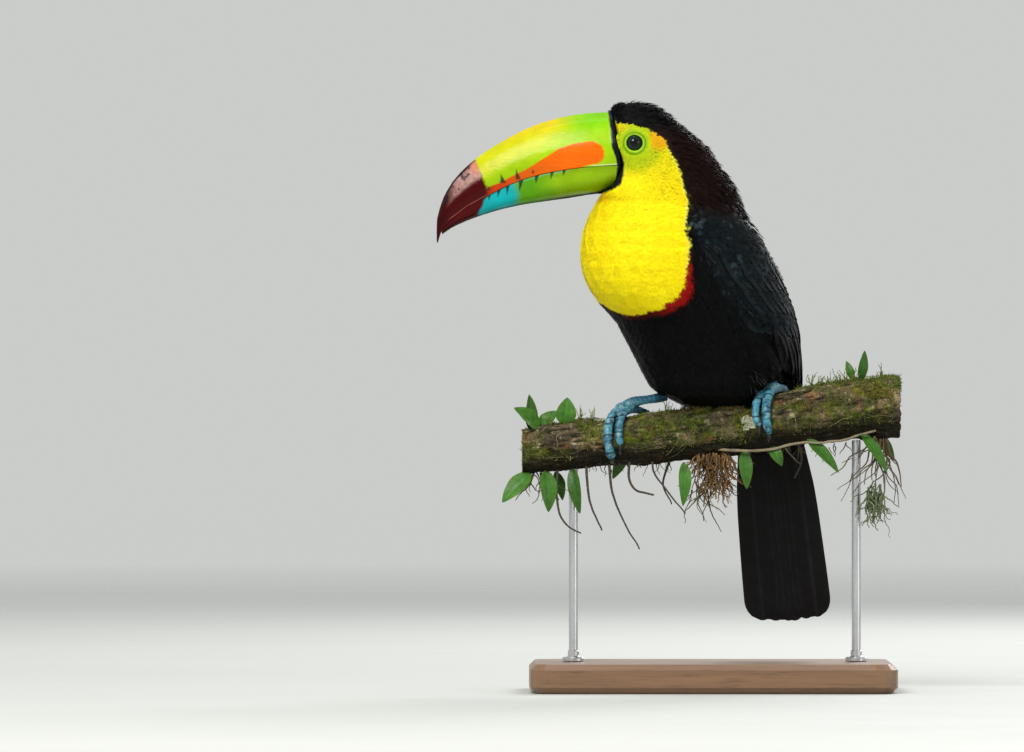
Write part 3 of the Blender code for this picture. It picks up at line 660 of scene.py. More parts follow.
def upper_bill(points, tip, wobble, fine):
    """The upper bill's paint, and where its notches are."""
    u, v = bill_place(points)
    mouth, ridge = by(BILL_MOUTH, u), by(BILL_RIDGE, u)
    h = (v - mouth) / np.maximum(ridge - mouth, 1)
    border = u - by(TIP_EDGE, v)
    top = by(FLAME_TOP, u) + 0.5 * wobble
    below = np.where(u < 30, by(FLAME_BACK, u), mouth - 2)
    flame = ramp(top - v, -0.5, 0.8) * ramp(v - below, -0.5, 0.6) * ramp(u, 9.2, 10.2)
    orange = painted(
        FLAME, (FLAME_MIDDLE, ramp(u, 34, 58)), (FLAME_END, ramp(u, 62, 84)), (DEEP_RED, ramp(u, 84, 95)),
    )
    yellow = mix(LIME_YELLOW * (0.66, 0.85, 1), LIME_YELLOW * (1.2, 0.97, 1), ramp(h, 0.3, 0.62))
    glow = ramp(h, 0.70, 0.95) * ramp(u, 32, 52) * (1 - ramp(u, 66, 88)) * (0.6 + 0.4 * wobble)
    # painted highlight: a pale pink sheen across the upper middle of the tip
    tip_highlight = tip * patch(h, 0.42, 0.58, 0.88, 0.97) * (1 - ramp(u, 111, 121)) * (0.8 + 0.3 * fine)
    spots = ramp(rough(points, 0.0021, 9), 0.34, 0.5) * tip * ramp(h, 0.5, 0.65) * ramp(border, 4, 7)
    notch = np.zeros(len(points))
    for ahead, up, tall, wide in UPPER_MARKS:
        rise = (v - up) / tall
        lean = u - ahead - 1.4 * rise
        spike = ramp(wide * 0.5 * (1 - rise) - np.abs(lean + 0.5 * fine), -0.5, 0.5)
        notch = np.maximum(notch, spike * ramp(rise, -0.15, 0.1) * (rise < 1))
    colour = painted(
        LIME,
        (BILL_YELLOW, ramp(u + 14 * h, 34, 62) * ramp(h + 0.12 * wobble, 0.25, 0.8)),
        (yellow, ramp(u - 22 * h, 40, 70)),
        (RIDGE_ORANGE, 0.6 * glow),
        (BASE_GREEN, 0.75 * patch(u, 2, 10, 18, 42) * ramp(h, 0.55, 0.85)),
        (orange, flame),
        (MAROON_TIP, tip),
        (TIP_HIGHLIGHT, (0.85 * tip_highlight).clip(0, 1)),
        (TIP_SALMON, 0.75 * ramp(h, 0.5, 0.8) * tip * (1 - ramp(border, 2, 8))),
        (MAROON_TIP * 0.45, 0.7 * ramp(u, 112, 126)),
        (HORN_BLACK * 2, 0.75 * spots),
        (HORN_BLACK, 0.8 * tip * ramp(h, 0.93, 0.99)),
        (UPPER_NOTCH, 0.92 * notch),
        # painted highlight along the mouth's edge on the tip
        (TIP_SEAM_HIGHLIGHT, 0.7 * tip * (1 - ramp(np.abs(v - mouth - 0.8), 0.1, 0.45)) * (1 - ramp(u, 116, 120))),
        # a pale edge along the mouth by the gape, with a painted highlight on it
        (PALE_SEAM_AND_HIGHLIGHT, 0.6 * (1 - ramp(np.abs(v - mouth - 0.7), 0.2, 0.9)) * (1 - ramp(u, 16, 22))),
    )
    return colour, -0.18 * notch


def lower_bill(points, tip, wobble, fine):
    """The lower bill's paint, and where its notches are."""
    u, v = bill_place(points)
    mouth, keel = by(BILL_MOUTH, u), by(BILL_KEEL, u)
    h = (mouth - v) / np.maximum(mouth - keel, 1)
    notch = np.zeros(len(points))
    for ahead, tall, wide in LOWER_MARKS:
        fall = (mouth - v) / tall
        lean = u - ahead - 0.9 * fall
        spike = ramp(wide * 0.5 * (1 - fall) + 0.1 - np.abs(lean + 0.4 * fine), -0.4, 0.45)
        notch = np.maximum(notch, spike * (fall < 1))
    colour = painted(
        BILL_GREEN,
        (FAR_GREEN, ramp(u + 5 * wobble, 28, 62)),
        (BILL_GREEN * 1.35, 0.8 * (1 - ramp(np.abs(h - 0.35), 0.05, 0.4)) * (1 - ramp(u, 40, 60))),
        (CYAN, ramp(u + 3 * wobble + 5 * h, 70, 78)),
        (MAROON_TIP * 1.3, tip),
        (DEEP_RED * 1.4, (1 - ramp(mouth - v, 0.4, 1.3)) * ramp(u, 87, 93)),
        (EDGE_GREEN, 0.6 * (1 - ramp(mouth - v, 0.5, 1.8)) * patch(u, 30, 44, 70, 80)),
        (LOWER_NOTCH, 0.92 * notch),
    )
    thick = np.interp(u, (20, 28, 40, 54), (1.4, 1.1, 0.7, 0.0))    # the black line under the chin
    colour = mix(colour, HORN_BLACK, (1 - ramp(v - keel, thick - 0.4, thick + 0.5)) * (1 - ramp(u, 46, 56)))
    # painted shade: the underside darker near the keel, over a wider strip at the tip
    return mix(colour, colour * 0.35, (1 - ramp(v - keel, 0.4, 2.6 + 2 * tip))), -0.15 * notch


def bill_colours(points, upper):
    """The painted bill, how far the horn stands up or is sunk there in metres, and how dull it is."""
    u, v = bill_place(points)
    wobble, fine = rough(points, 0.006, 5), rough(points, 0.002, 6)
    tip = ramp(u - by(TIP_EDGE, v) + 1.2 * wobble + 0.6 * fine, -0.9, 1.6)
    colour, lift = (upper_bill if upper else lower_bill)(points, tip, wobble, fine)
    band = ramp(by(BAND_FRONT, v) + 0.5 - u + 0.15 * fine, -0.35, 0.35)
    colour = mix(colour, HORN_BLACK, band)
    lift += (0.45 + 0.9 * ramp(v, 31, 36)) * band + 0.03 * wobble
    lift += (1 - band) * 0.05 * rough(points * (0.35, 1, 1), 0.0012, 12)
    dull = 0.24 + (0.15 - 0.24) * tip
    if not upper:
        dull = dull + 0.4 * (1 - ramp(v - by(BILL_KEEL, u), 0.3, 2.4))
    return colour, lift * MM, dull


def seat_lower_bill(points):
    """The lower bill's edge closed against the upper one, and its base deepened to the chin, in metres."""
    u, v = bill_place(points)
    mouth, keel = by(BILL_MOUTH, u), by(BILL_KEEL, u)
    depth = ((mouth - v) / np.maximum(mouth - keel, 1)).clip(0, 1)
    deeper = np.interp(u, (-2, 4, 9, 14, 20, 27), (1.8, 2.5, 2.7, 2.4, 1.2, 0)) * depth**2
    closed = (0.45 + 0.75 * ramp(u, 109, 115)) * (1 - ramp(mouth - v, 0.0, 2.2)) * patch(u, 0, 6, 121, 123.5)
    return points + UP * (closed - deeper)[:, None] * MM


for half in ("upper", "lower"):
    points, normals, faces = refined(f"bill_{half}", 3, longest=5 * MM)
    colour, lift, dull = bill_colours(points, half == "upper")
    points = points + normals * lift[:, None]
    if half == "lower":
        points = seat_lower_bill(points)
    piece(f"horn_{half}", points, faces, BILL, "bill", [f"bill_{half}"], tint=colour, sharp=60, values=dull)

# --- Skin ---
FLESH = ["head", "neck", "trunk", "rump", "wing_left", "wing_right"]
# The flesh is grown this much before it is remeshed, which joins the nodes, and drawn back after it
GROWN = 0.35 * MM
outer, outward, outer_faces = largest_island(*remeshed(FLESH, 1.3 * MM, GROWN, 6))
outer = outer - outward * GROWN
hull = tree_of(outer, outer_faces)


def coat_depth(points):
    """How thick the plumage is, in metres: thin round the bill and the eyes."""
    near_bill = ramp(bill_place(points)[0], -30, -2) * ramp(points[:, 2] / MM, 340, 352)
    depth = (3.0 - 2.3 * near_bill) * (1 - 0.8 * ramp(bill_rim(points), -0.6, 0.4))
    return MM * np.minimum(depth, 0.6 + 2.4 * ramp(eye_distance(points), 11, 30))


def trim(points):
    """How far the close coat stays below the outline, in metres: the loose feathers fill that."""
    z, angle, _ = body_place(points)
    nape = patch(z, 320, 330, 346, 360) * ramp(np.abs(angle), 100, 130)
    crown = ramp(z, 352, 366) * ramp(bib_distance(points), 1, 5)
    return MM * np.maximum(2.2 * nape, 1.0 * crown)


skin_points = outer - outward * (coat_depth(outer) + 0.6 * trim(outer))[:, None]
# The skin takes the markings a fifth darker: painted shade in the gaps between the tufts
skin_colour = plumage_colour(outer) * 0.8
piece("skin", skin_points, outer_faces, SKIN, "plumage_black", FLESH, tint=skin_colour, uv=unwrap(outer))

# --- Plumage ---
triangles = np.concatenate([outer_faces[:, [0, 1, 2]], outer_faces[:, [0, 2, 3]]])
corners = outer[triangles]
areas = np.linalg.norm(np.cross(corners[:, 1] - corners[:, 0], corners[:, 2] - corners[:, 0]), axis=1) / 2
HARD = ["bill_upper", "bill_lower", "eye_left", "eye_right", "leg_left", "leg_right", "perch", "tail"]
blockers = node_mesh(HARD)
blocker_faces = [list(face.vertices) for face in blockers.polygons]
blocker_tree = BVHTree.FromPolygons([vertex.co for vertex in blockers.vertices], blocker_faces)


def scatter(spacing, wanted):
    """Points spread evenly over the body's surface where `wanted` says so, with their normals."""
    count = int(areas.sum() / spacing**2 * 5)
    chosen = rng.choice(len(areas), count, p=areas / areas.sum())
    a, b = rng.random((2, count))
    flip = a + b > 1
    a, b = np.where(flip, 1 - a, a), np.where(flip, 1 - b, b)
    t = triangles[chosen]
    weights = np.stack([1 - a - b, a, b], 1)
    points = (outer[t] * weights[:, :, None]).sum(1)
    normals = unit((outward[t] * weights[:, :, None]).sum(1))
    keep = wanted(points)
    points, normals = points[keep], normals[keep]
    for shift in (0.0, 0.5):
        cells = np.floor(points / spacing + shift).astype(np.int64)
        _, first = np.unique(cells, axis=0, return_index=True)
        first.sort()
        points, normals = points[first], normals[first]
    return points, normals


def lie(points, normals):
    """Which way the plumage lies: back from the bill over the head, then down to the tail."""
    from_bill = unit(points / MM - np.array((-84.0, -25.0, 384.0)))
    to_tail = unit(np.array((52.0, 48.0, 90.0)) - points / MM)
    z, angle, _ = body_place(points)
    down = mix(-UP, to_tail, 0.55 + 0.45 * ramp(np.abs(angle), 60, 120))
    way = mix(down, from_bill, ramp(z, 338, 378))
    way = way + 0.10 * rough_vectors(points, 0.012, (21, 22, 23))
    way -= normals * (way * normals).sum(1, keepdims=True)
    return unit(way)


def barb_faces(first):
    """Triangles of a slender barb of five points: two at its root, two halfway and one at its tip."""
    return [(first, first + 1, first + 2), (first, first + 2, first + 3), (first + 3, first + 2, first + 4)]


def vane_template(spikes=5, bare=0.74):
    """A small feather: a rounded vane whose tip frays. Columns: along, aside, how loose, how high."""
    points, faces = [], []
    rows = ((0.0, 0.4), (0.28, 0.85), (0.55, 1.0), (bare + 0.05, 0.82))
    for s, half in rows:
        points += [(s, -half, 0, -0.5), (s, 0, 0, 0.5), (s, half, 0, -0.5)]
    for i in range(len(rows) - 1):
        a = 3 * i
        faces += [(a, a + 1, a + 4), (a, a + 4, a + 3), (a + 1, a + 2, a + 5), (a + 1, a + 5, a + 4)]
    for k in range(spikes):
        w = -0.8 + 1.6 * k / (spikes - 1)
        tip, half = 1.0 - 0.16 * w * w, 0.9 / spikes
        root, middle = bare - 0.02, (bare + tip) / 2
        faces += barb_faces(len(points))
        points += [
            (root, w - half, 0, 0), (root, w + half, 0, 0.1),
            (middle, w * 1.05 + half * 0.8, 0.5, 0.1), (middle, w * 1.05 - half * 0.8, 0.5, 0),
            (tip, w, 1, 0),
        ]
    return np.array(points, float), np.array(faces)[:, ::-1]


def hair_template(barbs=7, half=0.26):
    """A silky tuft: slender barbs from one root."""
    points, faces = [], []
    for k in range(barbs):
        w = -1 + 2 * k / (barbs - 1)
        faces += barb_faces(len(points))
        points += [
            (0, w * 0.35 - half, 0, 0), (0, w * 0.35 + half, 0, 0),
            (0.5, w * 0.8 + half, 0.35, 0.1), (0.5, w * 0.8 - half, 0.35, 0.1),
            (1.0 - 0.14 * abs(w), w * 1.1, 1, 0),
        ]
    return np.array(points, float), np.array(faces)[:, ::-1]


VANE, HAIR = vane_template(), hair_template()
MOST_TRIANGLES = 195_000
# Tufts are shortened this near the bill, eyes, legs, perch or tail, and left out where they touch one
NEAR, TOUCHING = 0.004, 0.0006


def tufts(
    name, spots, template, length, width, height, look, slot, loose=1.0, shade=0.55, soft=0.6, tone=0.16,
    reach=0.8, stand=0.0, blocked=True, painted_gleam=0.0,
):
    """Feathers rooted on the skin and lying along it, as one mesh, or several where there are too many.

    `height` is how far the tips end above the outline, as a share of the coat's depth, and `stand` how much
    higher some stand, in millimetres. `loose` is how ragged they are, `shade` how dark their painted shade is
    at the root, `soft` how little each shades by itself, `tone` how much they vary, `painted_gleam` the share
    made six times lighter as painted highlights, and `reach` where along it a feather takes its colour from
    the markings.
    """
    points, normals = spots
    depth = coat_depth(points)
    flow = lie(points, normals)
    count = len(points)
    cast = rng.random((count, 8))
    length = length(points) if callable(length) else np.full(count, length)
    width = width(points) if callable(width) else np.full(count, width)
    length = length * MM * (0.82 + 0.36 * cast[:, 0])
    width = width * MM * (0.85 + 0.3 * cast[:, 1])
    turn = (cast[:, 2] - 0.5) * 0.34 * loose
    cross = np.cross(normals, flow)
    flow = unit(flow * np.cos(turn)[:, None] + cross * np.sin(turn)[:, None])
    cross = np.cross(normals, flow)
    tips = points + flow * length[:, None]
    bend, keep = np.zeros(count), np.ones(count, bool)
    for i in range(count):
        spot, facing, _, _ = hull.find_nearest(tips[i])
        bend[i] = (Vector(tips[i]) - spot).dot(facing)
        near = blocker_tree.find_nearest(points[i], NEAR)
        if blocked and near[0] is not None:
            keep[i] = near[3] > TOUCHING
            length[i] *= 0.55 + 0.45 * min(1, near[3] / NEAR)
    bend = bend.clip(-0.0008, 0.004)
    kept = [a[keep] for a in (points, normals, flow, cross, length, width, bend, depth, cast)]
    points, normals, flow, cross, length, width, bend, depth, cast = kept
    count = len(points)
    shape, shape_faces = template
    s, w, free, high = shape.T
    # where each point of each tuft lies: along it, aside and above the body's surface
    jitter = rng.standard_normal((3, count, len(shape))) * free
    along = length[:, None] * (s + 0.07 * loose * jitter[0])
    aside = width[:, None] / 2 * (w + 0.25 * loose * jitter[1])
    aside = aside + (cast[:, 3:4] - 0.5) * 0.3 * loose * length[:, None] * s**2
    rise = 1 - (1 - s.clip(0, 1)) ** 1.8
    top = depth * (height + 0.30 * loose * (cast[:, 4] - 0.5)) + stand * MM * cast[:, 7] - trim(points)
    up = -depth[:, None] * 0.9 + (top + depth * 0.9)[:, None] * rise - bend[:, None] * s**2
    up = up + width[:, None] * 0.13 * high + depth[:, None] * 0.10 * loose * jitter[2]
    vertices = (
        points[:, None] + flow[:, None] * along[..., None] + cross[:, None] * aside[..., None]
        + normals[:, None] * up[..., None]
    )
    facing = normals[:, None] + cross[:, None] * (0.45 * w)[None, :, None] * (1 - soft) * 2
    facing = facing + flow[:, None] * (0.06 + 0.10 * (cast[:, 5] - 0.5))[:, None, None]
    facing = unit(facing + 0.08 * loose * rng.standard_normal((count, 1, 3)) * (1 - soft))
    colour = plumage_colour(points + flow * (length * reach)[:, None]) * (1 - tone + 2 * tone * cast[:, 6:7])
    # painted highlights: a share of the tufts made six times lighter, as glinting feathers
    colour = colour * np.where(cast[:, 7:8] < painted_gleam, 6.0, 1.0)
    gradient = shade + (1 - shade) * s.clip(0, 1) ** 0.8
    uneven = 1 + 0.10 * rng.standard_normal((count, len(shape), 1)) * free[None, :, None]
    tint = colour[:, None] * gradient[None, :, None] * uneven
    uv = unwrap(points)[:, None] + 0.0015 * np.stack([w / 1.2, 2 * s - 1], 1)[None]
    group = max(1, math.ceil(count * len(shape_faces) / MOST_TRIANGLES))
    for k in range(group):
        rows = slice(k * count // group, (k + 1) * count // group)
        n = rows.stop - rows.start
        faces = (shape_faces[None] + np.arange(n)[:, None, None] * len(shape)).reshape(-1, 3)
        piece(
            name if group == 1 else f"{name}_{k + 1}", vertices[rows].reshape(-1, 3), faces, look, slot,
            normals=facing[rows].reshape(-1, 3), tint=tint[rows].reshape(-1, 3).clip(0, 1),
            uv=uv[rows].reshape(-1, 2),
        )
    print("plumage", name, count, "tufts")


def region(test):
    """Turns a test on the parts of the body into one for scatter()."""
    def wanted(points):
        z, angle, _ = body_place(points)
        spot = dict(z=z, a=np.abs(angle), d=bib_distance(points))
        spot.update(eye=eye_distance(points), wing=on_wing(points))
        return test(**spot) & (bill_rim(points) < -0.3)
    return wanted


def behind_bill(points, reach):
    """0 at the bill's base, 1 that many millimetres behind it."""
    return ramp(-bill_place(points)[0], 0, reach)


def shoulder(points):
    """1 low on the wing's coverts, 0 at the shoulder."""
    return ramp(-points[:, 2] / MM, -325, -275)


def is_tail_covert(z, a, wing, **k):
    return (z <= 216) & ~wing & (a >= 138) & ((a < 152) | (z > 203))


DARK, BRIGHT = (PLUMAGE_DARK, "plumage_black"), (PLUMAGE_BRIGHT, "plumage_yellow")
# name, spacing, where, template, length, width, height, material and slot
tufts(
    "face_feathers",
    scatter(0.92 * MM, region(lambda z, d, eye, **k: (z > 343) & (d < 0.4) & (eye > 9.6))), HAIR,
    lambda p: 1.7 + 1.5 * (behind_bill(p, 24) + ramp(eye_distance(p), 12, 26)), 1.4, -0.05, *BRIGHT,
    loose=0.55, shade=0.88, soft=0.88, tone=0.05, reach=0.95,
)
tufts(
    "bib_feathers", scatter(1.3 * MM, region(lambda z, d, **k: (z <= 345) & (d < 0.2))), HAIR,
    6.5, 2.9, -0.04, *BRIGHT, loose=0.38, shade=0.96, soft=0.94, tone=0.025, reach=0.95,
)
tufts(
    "bib_hem_feathers",
    scatter(1.5 * MM, region(lambda z, a, d, **k: (z < 330) & (a < 84) & (d > -2) & (d < 8))), HAIR,
    6.0, 2.4, -0.05, *DARK, loose=0.9, reach=0.9,
)
tufts(
    "crown_feathers", scatter(1.25 * MM, region(lambda z, d, **k: (z > 366) & (d > -0.6))), HAIR,
    lambda p: 4.5 + 3.5 * behind_bill(p, 25), 1.9, 0.15, *DARK, loose=1.3, soft=0.4,
)
tufts(
    "nape_feathers",
    scatter(1.5 * MM, region(lambda z, d, wing, **k: (z <= 370) & (z > 318) & (d > -0.6) & ~wing)), HAIR,
    8.5, 2.8, 0.15, *DARK, loose=1.3, soft=0.4,
)
tufts(
    "loose_feathers", scatter(2.6 * MM, region(lambda z, d, wing, **k: (z > 322) & (d > 4) & ~wing)), HAIR,
    lambda p: 5.5 + 4.0 * behind_bill(p, 25), 1.3, 0.2, *DARK, loose=1.5, soft=0.3, stand=2.2,
)
tufts(
    "body_feathers",
    scatter(1.55 * MM, region(
        lambda z, a, d, wing, **k: (z <= 322) & (z > 196) & (d > 5) & ~wing & ((z > 212) | (a < 138))
    )),
    HAIR, 10.0, 4.2, 0.0, *DARK, loose=0.9, soft=0.6,
)
tufts(
    "rump_feathers", scatter(1.8 * MM, region(lambda z, a, wing, **k: (z <= 200) & ~wing & (a < 138))), VANE,
    9.0, 4.2, 0.0, *DARK, loose=0.9, soft=0.6,
)
points, normals = scatter(1.5 * MM, region(is_tail_covert))
facing_out = normals[:, 2] > -0.5
tufts(
    "tail_coverts", (points[facing_out], normals[facing_out]), HAIR, 9.0, 3.8, 0.0, *DARK,
    loose=0.35, soft=0.9, shade=0.85, tone=0.06, reach=0.4, stand=0.5, blocked=False,
)
tufts(
    "wing_coverts", scatter(2.7 * MM, region(lambda z, wing, **k: wing & (z > 262))), VANE,
    lambda p: 8 + 5 * shoulder(p), lambda p: 6 + 3 * shoulder(p), 0.02, PLUMAGE_GLOSSY, "plumage_black",
    loose=0.5, soft=0.5, tone=0.4, painted_gleam=0.07,
)
tufts(
    "wing_lining", scatter(3.2 * MM, region(lambda z, wing, **k: wing & (z <= 270))), VANE,
    11, 8.0, -0.7, *DARK, loose=0.4, soft=0.4,
)

# Short bristles that close the forehead over the top of the bill's base, then along its sides
parts = []
for _ in range(700):
    back = rng.uniform(-4.5, 2.5)
    across = rng.uniform(-1, 1) * np.interp(back, (-4.5, -1, 2.5), (5.5, 9.5, 11.0))
    spot, facing = hit(hull, (MOUTH[0] + back, MOUTH[1] + across, 430), -UP)
    if spot is None:
        continue
    ahead = np.interp(back, (-4.5, -2, 0, 2.5), (1.5, 1.0, 0.2, -1.2)) + 0.25 * rng.normal()
    base = spot - facing * 0.9
    way = unit(np.array((-ahead, across / 22 + 0.2 * rng.normal(), 0.9)))
    curl = np.array((0.5 * rng.random(), 0.0, 0.2 * rng.random()))
    reach = rng.uniform(2.0, 3.7) * (1 - 0.3 * abs(across) / 11) * np.interp(back, (-4.5, 0), (0.8, 1))
    points, faces = tapered([base, base + way * reach * 0.55, base + way * reach + curl], 6, 0.30, 0.06)
    parts.append((points, faces, np.tile(BLACK * rng.uniform(0.7, 2.2), (len(points), 1))))
for _ in range(160):
    x, z = rng.uniform(-70.5, MOUTH[0]), rng.uniform(400.5, 405.5)
    side = -1 if rng.random() < 0.5 else 1
    spot, facing = hit(hull, (x, MOUTH[1] + 65 * side, z), (0, -side, 0))
    if spot is None or abs(spot[1] - MOUTH[1]) > 20:
        continue
    base = spot - facing * 0.7
    way = unit(np.array((-0.7, 0.35 * np.sign(base[1] - MOUTH[1]), 0.8)) + 0.2 * rng.normal(0, 1, 3))
    points, faces = tapered([base, base + way * 0.9, base + way * rng.uniform(1.4, 2.3)], 6, 0.30, 0.06)
    parts.append((points, faces, np.tile(BLACK * rng.uniform(0.7, 2.0), (len(points), 1))))
put("forehead_bristles", parts, *DARK)

# Pale strands over the mantle and the back: painted highlights on the black feathers, lightest at their tips
WISPS = ((-8, 309, 6), (-4, 305, 5), (-1, 312, 5), (22, 268, 4), (26, 222, 5), (34, 219, 6), (30, 216, 4))
WISP_HIGHLIGHT = np.array((0.11, 0.115, 0.12))
parts = []
for x, z, count in WISPS:    # place from the front, height, how many
    for _ in range(count):
        spot, out = hit(hull, (x + rng.normal(0, 2.2), -200, z + rng.normal(0, 2.0)), (0, 1, 0))
        if spot is None:
            continue
        fall = unit(np.array((0.45, -0.05, -0.9)) + 0.25 * rng.normal(0, 1, 3))
        base, reach = spot - out * 1.2, rng.uniform(5, 8.5)
        middle, tip = base + fall * reach * 0.5 + out * 1.1, base + fall * reach + out * rng.uniform(1.0, 1.9)
        points, faces = tapered([base, middle, tip], 8, 0.16, 0.04)
        pale = np.concatenate([np.repeat(np.linspace(0.2, 1, 8) ** 2, 4), (0.04, 1)])[:, None]
        parts.append((points, faces, pale * WISP_HIGHLIGHT + BLACK))
put("pale_wisps", parts, *DARK)

# --- Flight feathers ---
VANE_LOOK = Look("flight feathers", Specular_IOR_Level=0.12)
slant = VANE_LOOK.add("CombineXYZ", X=VANE_LOOK.value("along"))["Vector"]
bands = dict(wave_type="BANDS", bands_direction="X")
barbs = VANE_LOOK.add("TexWave", bands, Vector=slant, Scale=160.0, Distortion=0.6, Detail=2.0)["Fac"]
VANE_LOOK.wire(
    Base_Color=VANE_LOOK.blend(
        VANE_LOOK.tint(), VANE_LOOK.range(VANE_LOOK.noise(120, 4), 0.7, 1.4), 1.0, "MULTIPLY"
    ),
    Roughness=VANE_LOOK.range(VANE_LOOK.noise(300, 3), 0.30, 0.46),
    Normal=VANE_LOOK.bump(barbs, 0.25, 0.00012, VANE_LOOK.bump(VANE_LOOK.noise(420, 3), 0.25, 0.0004)),
)


def surface(z, angle):
    """The body's outer surface at a height and an angle from its front, with its normal, in millimetres."""
    centre, ahead, left = axis_frame(z)
    way = ahead * math.cos(math.radians(angle)) + left * math.sin(math.radians(angle))
    spot, facing = hit(hull, centre + way * 130, -way)
    return (centre + way * 6, way) if spot is None else (spot, facing)


def long_vane(
    centre_line, half_widths, sides, ups, colour, rows=26, columns=9, bow=-0.05, tilt=0.0, accent=1.0
):
    """A flight feather with a raised shaft: rows of points across it, front and back, in millimetres."""
    thick = 0.35
    s, u = np.linspace(0, 1, rows), np.linspace(-1, 1, columns)
    line, side, up = even(centre_line, s), unit(even(sides, s)), unit(even(ups, s))
    half = even(half_widths, s) * np.sqrt((1 - ((s - 0.90).clip(0) / 0.1) ** 2).clip(0.03, 1))
    across = u * half[:, None]
    shaft = 0.30 * (1 - 0.75 * s)[:, None] * np.exp(-(across / 0.55) ** 2)
    along = unit(np.gradient(line, axis=0))[:, None]
    flat = line[:, None] + side[:, None] * across[..., None] + along * (-0.375 * np.abs(u))[None, :, None]
    faces = []
    for sign in (1, -1):
        height = bow * half[:, None] * u**2 + tilt * u + sign * thick / 2 * (1 - 0.8 * u**4)
        height = height + sign * shaft + 0.05 * np.sin(30 * s[:, None] + 5 * u)
        faces.append(flat + up[:, None] * height[..., None])
    # painted highlight along the shaft, and the tint lighter towards both rims
    tint = np.tile(colour, (rows, columns, 1)) * (1 + 1.4 * accent * np.exp(-(across / 0.5) ** 2))[..., None]
    tint = (tint * (1 + 0.9 * accent * ramp(np.abs(u), 0.80, 1.0))[None, :, None]).reshape(-1, 3)
    slant = (s[:, None] * np.linalg.norm(line[-1] - line[0]) * 0.01 + 0.05 * np.abs(u)).ravel()
    points = np.concatenate([face.reshape(-1, 3) for face in faces])
    return points * MM, two_sided(rows, columns), np.concatenate([tint, tint]), np.concatenate([slant, slant])


def put_vanes(name, parts, stands_for=()):
    points, faces, tint, slant = gathered(parts)
    tint = tint.clip(0, 1)
    piece(name, points, faces, VANE_LOOK, "plumage_black", stands_for, tint=tint, values=slant, sharp=50)


def wing_vane(side, heights, angles, half, lifts, colour, count=12):
    """A flight feather lying on the folded wing, from its first height, angle and lift to its second."""
    line, sides, ups = [], [], []
    for t in np.linspace(0, 1, count):
        z, angle, lift = (pair[0] + (pair[1] - pair[0]) * t for pair in (heights, angles, lifts))
        spot, facing = surface(z, side * angle)
        more, _ = surface(z, side * angle + side * 3)
        line.append(spot + facing * lift)
        sides.append(unit(more - spot))
        ups.append(facing)
    return long_vane(line, half, sides, ups, colour, tilt=-0.38)


FLIGHT_BLACK = BLACK * 1.3
COVERT_ROWS = ((280, 250, 5.2), (292, 266, 4.8), (303, 281, 4.4))    # from, down to, half width
for side, word in ((1, "left"), (-1, "right")):
    vanes = []
    for k in range(7):    # primaries, their tips fanned at the wing's lower end
        t = k / 6
        vanes.append(wing_vane(
            side, (240, 170 + 20 * (1 - t) ** 1.3), (128 + 14 * t, 148 + 10 * t), (3.2, 4.4, 4.6, 3.8),
            (-2.0, -1.1 + 0.06 * k), FLIGHT_BLACK,
        ))
    for k in range(9):    # secondaries, from the leading edge to the back
        t = k / 8
        z_low = 222 - 30 * t
        a_low = by(WING_EDGE, z_low) + 5 + 17 * t
        vanes.append(wing_vane(
            side, (276, z_low), (100 + 48 * t, a_low), (3.6, 5.6, 6.2, 5.6), (-1.3, -0.75 + 0.05 * k),
            FLIGHT_BLACK,
        ))
    for k in range(4):    # tertials over them
        t = k / 3
        vanes.append(wing_vane(
            side, (286, 214 - 14 * t), (132 + 20 * t, 142 + 15 * t), (4, 7.0, 8.0, 7.4),
            (-0.9, -0.25 + 0.1 * k), SHEEN_BLUE_BLACK,
        ))
    for row, (high, low, wide) in enumerate(COVERT_ROWS):
        for k in range(10):
            t = (k + 0.5 * (row % 2)) / 10
            vanes.append(wing_vane(
                side, (high, low - 6 * t), (91 + 62 * t, 93 + 64 * t), (2.6, wide * 0.95, wide, wide * 0.9),
                (-0.9 + 0.15 * row, 0.12 * row), SHEEN_BLUE_BLACK,
            ))
    put_vanes(f"flight_feathers_{word}", vanes)

# Between the wings: height, and how far behind the body's axis the white feathers lie
BACK_FLOOR = (
    (150, 156, 164, 172, 180, 188, 195, 205, 212), (5.2, 5.6, 8.2, 12.8, 18.2, 24.2, 29.2, 44.6, 53),
)


def covert(heights, places, half, lifts, colour, count=14):
    """A white feather in the hollow between the wings, from one height and place across to another."""
    line, sides = [], []
    for t in np.linspace(0, 1, count):
        z, x, lift = (pair[0] + (pair[1] - pair[0]) * t for pair in (heights, places, lifts))
        centre, ahead, left = axis_frame(z)
        round_back = np.interp(z, (156, 172), (70, 24))    # the radius across the back
        out = np.interp(z, *BACK_FLOOR) + lift - x * x / (2 * round_back)
        line.append(centre - ahead * out + left * x)
        sides.append(unit(left + ahead * x / round_back))
    line, sides = np.array(line), np.array(sides)
    ups = unit(np.cross(sides, np.gradient(line, axis=0)))
    ups *= np.sign(ups @ np.array((0.5, 0.8, 0.0)))[:, None]
    return long_vane(line, half, sides, ups, colour, accent=0.1)


